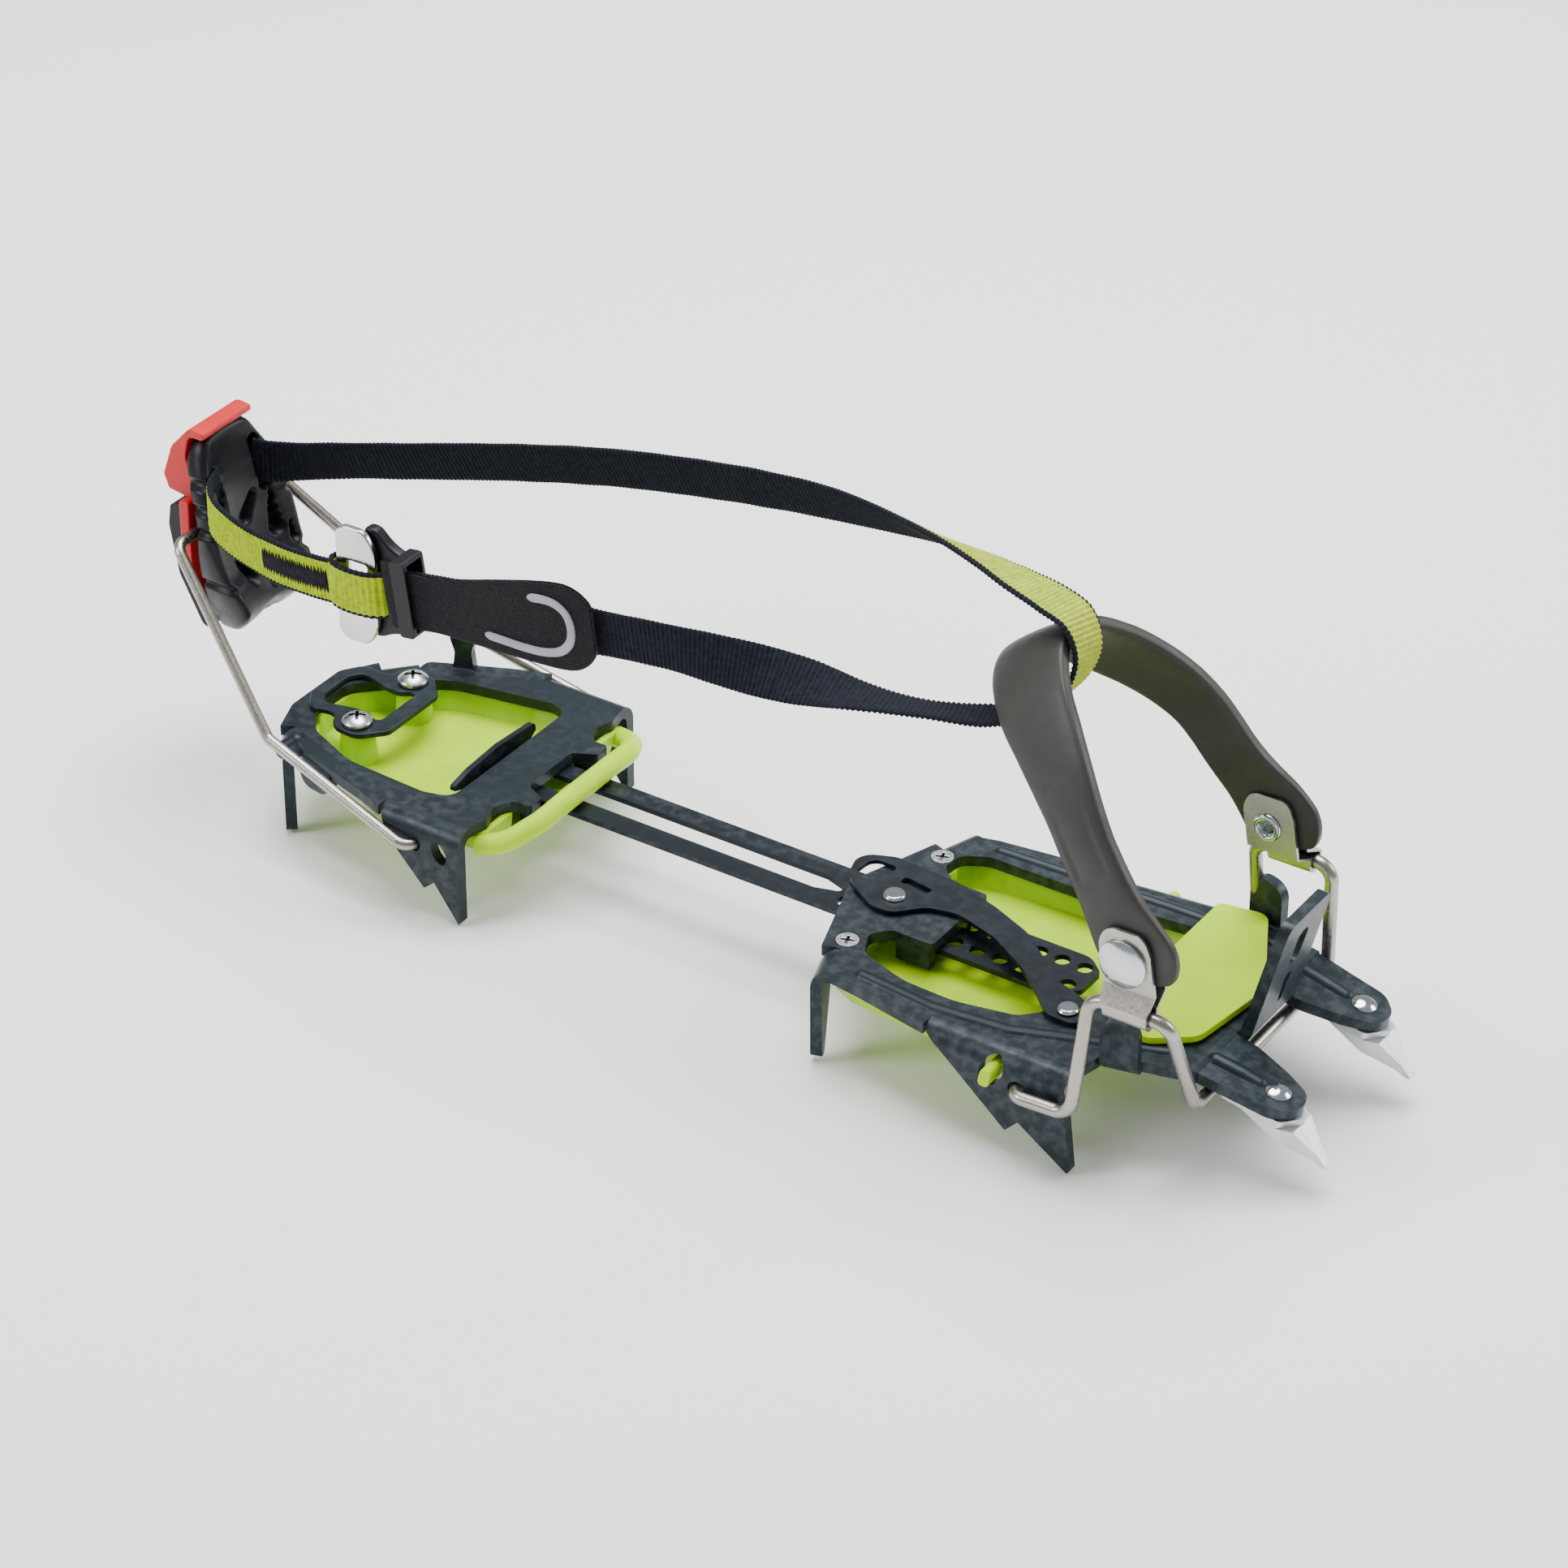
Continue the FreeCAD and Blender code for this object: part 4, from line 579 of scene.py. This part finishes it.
# Short webbing: right slot of the lever, doubled and sewn, to the buckle. Lime on the outside.
SHORT_ROUTE = [
    tipped(-203.4, -7.2, 54.4, 6), tipped(-202.6, -9.6, 54.2, 4), tipped(-200.6, -13.6, 53.6, 2),
    tipped(-196.8, -17.2, 52.9, 0), tipped(-190.4, -20.2, 52.3, -2), tipped(-181, -22.8, 51.8, -3),
    tipped(-169, -24.8, 51.8), tipped(-157, -26.0, 52.8), tipped(-148.4, -26.6, 54.0),
]
short_frames = frames_along(SHORT_ROUTE, RIB_PITCH / 6)
short_leaves_lever = length_at(short_frames, -195)
short_passes_heel = length_at(short_frames, -172)
SHORT_STRETCHES = (
    ("short_strap_lever", 0.0, short_leaves_lever, "lever", "heel_wire"),
    ("short_strap_middle", short_leaves_lever, short_passes_heel, "heel_wire", "heel_section"),
    ("short_strap_buckle", short_passes_heel, short_frames[-1][0], "heel_section", "buckle"),
)
for name, first, last, body, next_body in SHORT_STRETCHES:
    looks = (WEB_LIME, WEB_BLACK, WEB_BLACK)
    stretch_piece = place_stretch(name, short_frames, first, last, body, next_body, looks)
    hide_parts("short_strap")


THREAD_HALF_WIDTH, THREAD_HALF_HEIGHT = 0.30, 0.24


def stitching(name, frames, first, last, half_reach, pitch, lift):
    """Bar tack: close rows of thread over the strip's outer face."""
    vertices, faces = [], []
    stretch = between(frames, first, last)
    step = frames[1][0] - frames[0][0]
    every = max(1, round(pitch / step))
    for number, (length, centre, forward, side, normal, extra) in enumerate(stretch[::every]):
        wobble = math.sin(number * 2.3) * 0.35
        tilt = 0.16 * (1 if number % 2 else -1)
        start = len(vertices)
        rounds, around = 7, 6
        for r in range(rounds):
            t = -1 + 2 * r / (rounds - 1)
            swell = (1 - t * t) ** 0.3 if abs(t) < 1 else 0.25
            middle = (centre + side * (t * (half_reach + wobble)) + forward * (tilt * t)
                      + normal * (lift + 0.20 * swell))
            for k in range(around):
                turn = 2 * math.pi * k / around
                vertices.append(at(*(middle + forward * (THREAD_HALF_WIDTH * swell * math.cos(turn))
                                     + normal * (THREAD_HALF_HEIGHT * swell * math.sin(turn)))))
        faces += tube_faces(rounds, around, start)
    return make_mesh(name, vertices, faces, (THREAD,))


tack_starts = length_at(short_frames, -174.5)
tack_ends = length_at(short_frames, -152.5)
TACK_HALF_REACH = 3.1
TACK_PITCH = 0.52
tack = stitching("bar_tack", short_frames, tack_starts, tack_ends, TACK_HALF_REACH, TACK_PITCH,
                 WEB_THICKNESS / 2)
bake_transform(tack)


# ---- buckle ----

CORNER_STEPS = 5


def rounded(outline, radius):
    """Outline with each corner replaced by an arc of about the given radius."""
    result = []
    count = len(outline)
    for i, corner in enumerate(outline):
        here = Vector(corner[:2])
        reach = corner[2] if len(corner) > 2 else radius
        before = Vector(outline[i - 1][:2]) - here
        after = Vector(outline[(i + 1) % count][:2]) - here
        cut = min(reach, 0.45 * before.length, 0.45 * after.length)
        first, last = here + before.normalized() * cut, here + after.normalized() * cut
        for k in range(CORNER_STEPS + 1):
            t = k / CORNER_STEPS
            result.append(first * (1 - t) ** 2 + here * (2 * t * (1 - t)) + last * t ** 2)
    return result


def bevelled_plate(name, outlines, y_middle, thickness, edge, material):
    """Upright plate in the XZ plane with rounded edges. The later outlines are holes."""
    curve = bpy.data.curves.new(name + "_outline", "CURVE")
    curve.dimensions = "2D"
    curve.fill_mode = "BOTH"
    curve.extrude = thickness / 2 - edge
    curve.bevel_depth = edge
    curve.bevel_resolution = 3
    curve.offset = -edge
    for outline in outlines:
        spline = curve.splines.new("POLY")
        spline.points.add(len(outline) - 1)
        for point, place in zip(spline.points, outline):
            point.co = (place[0], place[1], 0, 1)
        spline.use_cyclic_u = True
    holder = bpy.data.objects.new(name + "_outline", curve)
    bpy.context.scene.collection.objects.link(holder)
    bpy.context.view_layer.update()
    mesh = bpy.data.meshes.new_from_object(holder.evaluated_get(bpy.context.evaluated_depsgraph_get()))
    bpy.data.objects.remove(holder)
    for vertex in mesh.vertices:
        x, z, depth = vertex.co
        vertex.co = at(x, y_middle - depth, z)
    mesh.materials.clear()
    mesh.materials.append(material)
    mesh.name = name
    mesh.polygons.foreach_set("use_smooth", [True] * len(mesh.polygons))
    piece = bpy.data.objects.new(name, mesh)
    bpy.context.scene.collection.objects.link(piece)
    weld = piece.modifiers.new("weld", "WELD")
    weld.merge_threshold = 1e-6
    normals = piece.modifiers.new("normals", "WEIGHTED_NORMAL")
    normals.keep_sharp = True
    return piece


# Outlines are (x, z, corner radius). The front ring's wing is mirrored below its middle.
RING_X, RING_Z = -142.0, 56.0
WING = [(-6.2, 6.4, 1), (-6.3, 14.4, 2), (-4.0, 16.4, 2), (2.4, 16.4, 2), (4.8, 13.6, 2), (6.0, 10.0, 2),
        (6.0, 6.6, 1)]
RING_WINDOW = ((-2.6, -6.8), (-2.6, 6.8), (3.4, 6.8), (3.4, -6.8))
ring_edge = [(RING_X + x, RING_Z + z, r) for x, z, r in WING]
ring_edge += [(RING_X + x, RING_Z - z, r) for x, z, r in reversed(WING)]
ring_hole = [(RING_X + x, RING_Z + z) for x, z in RING_WINDOW]
silver = bevelled_plate("buckle_ring_front", (rounded(ring_edge, 1.0), rounded(ring_hole, 0.8)),
                        BUCKLE_Y - 1.5, 1.9, 0.55, SILVER)
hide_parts("metal_buckle_ring")
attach(silver, "buckle")

BACK_RING = [(-141.2, 72.2, 2), (-137.6, 72.6, 3), (-133.4, 68.6, 4), (-127.4, 66.6, 3), (-126.2, 62.0, 3),
             (-126.2, 49.0, 3), (-127.6, 45.0, 3), (-133.4, 43.6, 4), (-137.0, 41.4, 3), (-141.2, 41.8, 2),
             (-139.6, 50, 4), (-139.6, 63, 4)]
back_hole = [(-135.4, 49.4), (-135.4, 62.6), (-130.0, 62.6), (-130.0, 49.4)]
black_ring = bevelled_plate("buckle_ring_back", (rounded(BACK_RING, 2), rounded(back_hole, 0.8)),
                            BUCKLE_Y + 1.7, 3.4, 0.8, BLACK)
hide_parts("black_buckle_ring")
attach(black_ring, "buckle")

# Folded loop round both rings, with wider ribs than the long webbing.
LOOP_ROUTE = [
    tipped(-149.2, -24.6, 55.4), tipped(-150.6, -26.4, 55.4), tipped(-149.6, -28.6, 55.5),
    tipped(-146.2, -30.2, 55.6), tipped(-140.5, -30.6, 55.8), tipped(-135.6, -29.6, 56.0),
    tipped(-132.6, -27.0, 56.2), tipped(-132.6, -24.6, 56.2), tipped(-134.8, -22.6, 56.2),
    tipped(-139.0, -22.4, 56.0),
]
LOOP_PITCH = 1.65
LOOP_HALF_WIDTH = 6.4
loop_frames = frames_along(LOOP_ROUTE, LOOP_PITCH / 8)
loop = webbing("webbing_loop_front", loop_frames, WEB_LIME, WEB_LIME, WEB_BLACK, LOOP_HALF_WIDTH, LOOP_PITCH)
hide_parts("webbing_loop")
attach(loop, "buckle")

# Pull tab: a rubber tongue, wider at its rounded end, with a plain raised stripe round that end.
TAB_PIVOT = (-138.0, 56.0)
TAB_TURN = 8.0
TAB_BOW, TAB_BOW_FROM, TAB_BOW_RUN = 1.0, -130.0, 64.0
# (x, lowest z, highest z) from the buckle to the rounded end.
TAB_SECTIONS = ((-131.6, 48.2, 66.4), (-127.5, 47.6, 66.6), (-123, 48.6, 65.2), (-116, 49.2, 65.0),
                (-106, 48.6, 66.2), (-96, 47.8, 68.0), (-86, 46.9, 69.6), (-78, 46.4, 70.4),
                (-74, 46.8, 70.2), (-70.5, 48.6, 68.8), (-68, 51.4, 66.4), (-66.8, 55.2, 62.8))
TAB_OUTER_Y, TAB_INNER_Y = BUCKLE_Y - 4.5, BUCKLE_Y - 2.7
TAB_HALF_THICKNESS = 0.5 * (TAB_INNER_Y - TAB_OUTER_Y)
TAB_EDGE_ROUND = 0.7


def on_tab(x, z, y):
    """A place on the tab, which climbs to the toe and bows outward a little at its middle."""
    turn = math.radians(TAB_TURN)
    u, v = x - TAB_PIVOT[0], z - TAB_PIVOT[1]
    bow = TAB_BOW * math.sin(math.pi * min(max((x - TAB_BOW_FROM) / TAB_BOW_RUN, 0), 1))
    return at(u * math.cos(turn) - v * math.sin(turn) + TAB_PIVOT[0], y - bow,
              u * math.sin(turn) + v * math.cos(turn) + TAB_PIVOT[1])


def pull_tab():
    """Flat tongue with round edges."""
    columns = [math.sin(math.pi / 2 * k / 8) for k in range(-8, 9)]
    steps = curve_through(TAB_SECTIONS, 110)
    vertices, places = [], []
    for number, (length, (x, low, high)) in enumerate(steps):
        end_fade = min(1.0, (len(steps) - 1 - number) / 6, (number + 0.5) / 3)
        half, middle = 0.5 * (high - low), 0.5 * (high + low)
        for y, inward, order in ((TAB_OUTER_Y, 1, columns), (TAB_INNER_Y, -1, columns[::-1])):
            for c in order:
                edge = max(0.0, min(1.0, (1 - abs(c)) * half / TAB_EDGE_ROUND)) ** 0.5
                pull = (1 - 0.9 * edge * max(end_fade, 0.1) ** 0.5) * TAB_HALF_THICKNESS
                depth = y + inward * pull
                vertices.append(on_tab(x, middle + c * half, depth))
                places.append((x, middle + c * half))
    faces = tube_faces(len(steps), 2 * len(columns))
    piece = make_mesh("pull_tab_face", vertices, faces, (RUBBER,))
    lay_strip_coordinates(piece, places)
    return piece


tab = pull_tab()
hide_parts("pull_tab")
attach(tab, "buckle")

STRIPE = ((-100.0, 52.6), (-95, 52.0), (-89, 51.2), (-82.5, 50.9), (-77.4, 52.0), (-74.4, 54.8),
          (-73.5, 58.6), (-74.4, 62.4), (-77.2, 64.8), (-81.2, 65.6), (-85.2, 65.4))
STRIPE_HALF_WIDTH = 1.15
STRIPE_BASE_Y = TAB_OUTER_Y + 0.08
STRIPE_HEIGHT = 0.34
STRIPE_STEPS = 90


def stripe():
    """Raised plain stripe of even width that follows the end of the tab."""
    steps = curve_through(STRIPE, STRIPE_STEPS)
    vertices, faces = [], []
    across_steps = 6
    half = STRIPE_HALF_WIDTH
    for index, (length, (x, z)) in enumerate(steps):
        ahead = Vector(steps[min(index + 1, STRIPE_STEPS)][1])
        behind = Vector(steps[max(index - 1, 0)][1])
        direction = (ahead - behind).normalized()
        end = min(1.0, (index + 0.4) / 3, (STRIPE_STEPS - index + 0.4) / 3) ** 0.5
        for k in range(across_steps + 1):
            t = -1 + 2 * k / across_steps
            height = STRIPE_HEIGHT * (1 - t ** 4) * end
            aside = half * t * end
            vertices.append(on_tab(x - direction.y * aside, z + direction.x * aside, STRIPE_BASE_Y - height))
    row = across_steps + 1
    for i in range(STRIPE_STEPS):
        for k in range(across_steps):
            a = i * row + k
            faces.append((a, a + 1, a + 1 + row, a + row))
    piece = make_mesh("pull_tab_stripe", vertices, faces, (GREY_INLAY,))
    solid = piece.modifiers.new("body", "SOLIDIFY")
    solid.thickness = 0.2 * MM
    solid.offset = 0
    return piece


band_stripe = stripe()
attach(band_stripe, "buckle")


# ---- lever ----

# Height, half width, back, front at the rim and depth of the dished face, from the foot to the top.
LEVER_SECTIONS = (
    (14.4, 9.0, -201.5, -197.4, 0.1), (16.6, 11.6, -202.0, -195.2, 0.4), (20.5, 13.6, -202.7, -191.4, 1.0),
    (24, 14.6, -203.3, -189.9, 2.0), (28, 15.5, -203.7, -191.0, 3.0), (33, 16.3, -204.1, -194.2, 3.6),
    (40, 16.8, -204.3, -196.4, 3.6), (46, 16.6, -204.3, -197.8, 3.2), (49.5, 16.2, -204.9, -198.5, 3.0),
    (53, 15.5, -206.2, -199.6, 2.6), (58, 13.8, -208.5, -201.6, 2.0), (63, 11.4, -210.1, -203.6, 1.3),
    (66.5, 9.4, -209.8, -204.6, 0.7), (68.5, 7.2, -208.9, -205.4, 0.2),
)
# Teardrop windows between two circles, as (y, z, radius) each.
LEVER_WINDOWS = (((3.8, 48.6, 1.3), (-0.2, 43.4, 2.4)), ((9.6, 46.8, 1.0), (9.4, 37.6, 2.7)),
                 ((13.4, 37.0, 0.8), (13.2, 33.6, 1.3)), ((-7.8, 34.8, 1.3), (-5.0, 29.8, 2.2)),
                 ((5.0, 31.5, 1.2), (1.6, 26.5, 1.9)))
LEVER_SLOTS = (((-8.5, 48.2, 2.0), (-8.5, 58.9, 1.8)), ((8.5, 50.0, 2.0), (8.5, 61.6, 1.8)))
LEVER_NOTCHES = (31.0, 46.0, 52.0, 58.0)
NOTCH_HALF_HEIGHT, NOTCH_DEPTH = 1.7, 1.3
WINDOW_DEPTH, SLOT_DEPTH = 5.0, 6.5
RIM_ROUND, BACK_ROUND = 2.0, 1.6
LEVER_FOOT, LEVER_TOP = LEVER_SECTIONS[0][0], LEVER_SECTIONS[-1][0]


def drop_distance(y, z, shape):
    """Signed distance to a drop between two circles, negative inside."""
    (ay, az, ar), (by, bz, br) = shape
    along_y, along_z = by - ay, bz - az
    t = ((y - ay) * along_y + (z - az) * along_z) / (along_y ** 2 + along_z ** 2)
    t = min(max(t, 0.0), 1.0)
    return math.hypot(y - ay - t * along_y, z - az - t * along_z) - (ar + (br - ar) * t)


def foot_split(y, z):
    """How far the middle of the foot is raised between its two toes."""
    return 3.2 * math.exp(-(y / 4.2) ** 2) * max(0.0, 1 - (z - LEVER_FOOT) / 9)


def round_over(share):
    """Drop of a quarter circle of radius one, from one at its edge (share 0) to none (share 1)."""
    return 1 - math.sqrt(max(0.0, 1 - (1 - share) ** 2))


def lever_body():
    """Moulded lever: dished face with windows and strap slots, notched sides, split foot."""
    rows = curve_through(LEVER_SECTIONS, 150)
    front_columns, back_columns = 84, 20
    vertices = []
    for length, (z, half, back_x, front_x, dish) in rows:
        for notch in LEVER_NOTCHES:
            reach = abs(z - notch) / NOTCH_HALF_HEIGHT
            if reach < 1:
                half -= NOTCH_DEPTH * (1 - reach * reach) ** 2
        end = min(1.0, (z - LEVER_FOOT) / 2.0 + 0.12, (LEVER_TOP - z) / 2.0 + 0.12)
        soften = round_over(end) * 1.5
        for k in range(front_columns + 1):
            even = -1 + 2 * k / front_columns
            t = 0.35 * math.sin(math.pi / 2 * even) + 0.65 * even
            y = t * half
            near = min(1.0, (1 - abs(t)) * half / RIM_ROUND)
            x = front_x - dish * (1 - t * t) ** 1.5 - RIM_ROUND * round_over(near) - soften
            inside = min(drop_distance(y, z, shape) for shape in LEVER_WINDOWS)
            slot_inside = min(drop_distance(y, z, shape) for shape in LEVER_SLOTS)
            for distance, depth in ((inside, WINDOW_DEPTH), (slot_inside, SLOT_DEPTH)):
                share = min(max(-distance / 0.7, 0.0), 1.0)
                x -= depth * share * share * (3 - 2 * share)
            x = max(x, back_x + 0.5)
            vertices.append(at(x, y, z + foot_split(y, z)))
        for k in range(back_columns + 1):
            t = 1 - 2 * k / back_columns
            y = t * half
            near = min(1.0, (1 - abs(t)) * half / BACK_ROUND)
            x = back_x + 1.4 * round_over(near) + soften
            vertices.append(at(x, y, z + foot_split(y, z)))
    faces = tube_faces(len(rows), front_columns + back_columns + 2)
    return make_mesh("lever_body", vertices, faces, (BLACK,))


lever_piece = lever_body()
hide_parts("heel_lever")
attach(lever_piece, "lever")


# ---- toe band ----

# Every cross-section of the arch is wide along LEAN, which climbs to the toe.
LEAN = (0.80, 0.0, 0.60)
BAND_MIDDLE_Y = -1.5
BAND_SPREAD = 34.0
LOBE_CENTRE = (88.2, 37.4)
LOBE_RADIUS = 10.4
ARM_DOWN = (0.62, -0.785)
# (x, distance inward from the lobe, z, half width) from the lobe to near the top.
HALF_ARCH = ((88.2, 0.0, 37.4, 10.4), (84.6, 0.2, 41.9, 9.7), (81.0, 1.0, 46.2, 8.6), (77.6, 2.1, 50.4, 8.0),
             (74.4, 3.0, 54.6, 7.8), (71.0, 3.8, 59.4, 7.8), (67.0, 5.4, 65.0, 8.1), (61.6, 8.4, 71.0, 9.0),
             (55.0, 12.8, 76.8, 10.0), (47.4, 18.8, 82.2, 11.0), (41.8, 26.2, 86.4, 11.6))
LOBE_HALF_THICKNESS, ARCH_HALF_THICKNESS = 1.5, 2.0
ARCH_CROWN, ARCH_HOLLOW = 0.7, 0.5
PANEL_CENTRE, PANEL_HALF_RUN, PANEL_HALF_WIDTH = 42.0, 10.0, 4.3
# The lobes end in a flat that rises to the front, so they clear the folded clips.
LOBE_FLAT_X, LOBE_FLAT_Z, LOBE_FLAT_RISE = 88.4, 29.8, 0.366


def band_route():
    """The arch's middle line, from the end of the right lobe to the end of the left one."""
    ends = []
    for share in (0.985, 0.93, 0.82, 0.64, 0.4, 0.2):
        reach = LOBE_RADIUS * share
        ends.append((LOBE_CENTRE[0] + ARM_DOWN[0] * reach, 0.0, LOBE_CENTRE[1] + ARM_DOWN[1] * reach,
                     math.sqrt(LOBE_RADIUS ** 2 - reach ** 2)))
    half = ends + list(HALF_ARCH)
    right_y, left_y = BAND_MIDDLE_Y - BAND_SPREAD, BAND_MIDDLE_Y + BAND_SPREAD
    right = [(x, right_y + inward, z) + LEAN + (width,) for x, inward, z, width in half]
    left = [(x, left_y - inward, z) + LEAN + (width,) for x, inward, z, width in reversed(half)]
    top = (39.6, BAND_MIDDLE_Y, 88.0) + LEAN + (11.8,)
    return right + [top] + left


def toe_band():
    """Moulded arch with a crowned outer face, round edges and a long oval panel on each arm."""
    frames = frames_along(band_route(), 0.7)
    total = frames[-1][0]
    columns = 52
    vertices = []
    for length, centre, forward, side, normal, extra in frames:
        half = extra[0]
        from_end = min(length, total - length)
        slim = min(1.0, max(0.0, (from_end - 14) / 14))
        depth = LOBE_HALF_THICKNESS + (ARCH_HALF_THICKNESS - LOBE_HALF_THICKNESS) * slim
        for k in range(columns):
            turn = 2 * math.pi * k / columns
            c, s = math.cos(turn), math.sin(turn)
            across = math.copysign(abs(c) ** 0.42, c) * half
            lift = math.copysign(abs(s) ** 0.36, s) * depth
            share = across / max(half, 1e-6)
            if s < 0:
                lift -= ARCH_CROWN * slim * (1 - share * share)
                panel = math.hypot(max(0.0, abs(from_end - PANEL_CENTRE) - PANEL_HALF_RUN), across)
                groove = max(0.0, 1 - abs(panel - PANEL_HALF_WIDTH) / 0.45)
                lift += 0.28 * groove * groove * (3 - 2 * groove)
                lift += 0.10 if panel < PANEL_HALF_WIDTH else 0.0
            else:
                lift -= ARCH_HOLLOW * slim * (1 - share * share)
            place = centre + side * across + normal * lift
            place.z = max(place.z, LOBE_FLAT_Z + LOBE_FLAT_RISE * max(0.0, place.x - LOBE_FLAT_X))
            vertices.append(at(*place))
    return make_mesh("toe_band_moulding", vertices, tube_faces(len(frames), columns), (BAND,))


band = toe_band()
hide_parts("toe_band")
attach(band, "band")


# ---- floor, light and camera ----

FLOOR_HALF_SIZE = 6.0
FLOOR_GAP = 0.0005


def floor():
    """Plain pale floor just under the points."""
    material, nodes, links, shader = new_material("pale_floor")
    shader.inputs["Base Color"].default_value = (0.86, 0.86, 0.86, 1)
    shader.inputs["Roughness"].default_value = 0.9
    size = FLOOR_HALF_SIZE
    corners = [(-size, -size, 0), (size, -size, 0), (size, size, 0), (-size, size, 0)]
    piece = make_mesh("studio_floor", corners, [(0, 1, 2, 3)], (material,), smooth=False)
    piece.location.z = cad_box[0].z - FLOOR_GAP


floor()

LIGHT_TARGET = Vector((0, 0, 0.05))


def soft_light(name, place, size, power):
    """Round soft light at a place in metres, aimed at the object."""
    light = bpy.data.lights.new(name, "AREA")
    light.shape = "DISK"
    light.size = size
    light.energy = power
    lamp = bpy.data.objects.new(name, light)
    bpy.context.scene.collection.objects.link(lamp)
    lamp.location = place
    lamp.rotation_euler = (LIGHT_TARGET - Vector(place)).to_track_quat("-Z", "Y").to_euler()


# Left, right, front and back are as the camera sees them.
soft_light("overhead", (-0.15, 0.25, 1.2), 1.1, 36)
soft_light("left_front", (-0.9, -0.9, 0.8), 0.6, 11)
soft_light("right_back", (0.9, 0.8, 0.6), 0.6, 9)

world = bpy.data.worlds.new("studio")
bpy.context.scene.world = world
world.use_nodes = True
background = world.node_tree.nodes["Background"]
background.inputs["Color"].default_value = (1, 1, 1, 1)
background.inputs["Strength"].default_value = 0.45

# The azimuth turns from the object's right side to its toe.
AZIMUTH, ELEVATION, ROLL = math.radians(33.38), math.radians(33.08), math.radians(0.19)
AIM = at(-32.72, -0.43, 21.66)
DISTANCE = 1.277
camera_data = bpy.data.cameras.new("camera")
camera_data.sensor_width = 36.0
camera_data.lens = 118.79
camera_data.clip_start = 0.05
camera = bpy.data.objects.new("camera", camera_data)
bpy.context.scene.collection.objects.link(camera)
outward = Vector((math.sin(AZIMUTH), -math.cos(AZIMUTH), 0))
back = outward * math.cos(ELEVATION) + Vector((0, 0, math.sin(ELEVATION)))
level = Vector((math.cos(AZIMUTH), math.sin(AZIMUTH), 0))
upright = back.cross(level)
right = level * math.cos(ROLL) + upright * math.sin(ROLL)
up = upright * math.cos(ROLL) - level * math.sin(ROLL)
turned = Matrix((right, up, back)).transposed().to_4x4()
camera.matrix_world = Matrix.Translation(AIM + back * DISTANCE) @ turned
bpy.context.scene.camera = camera
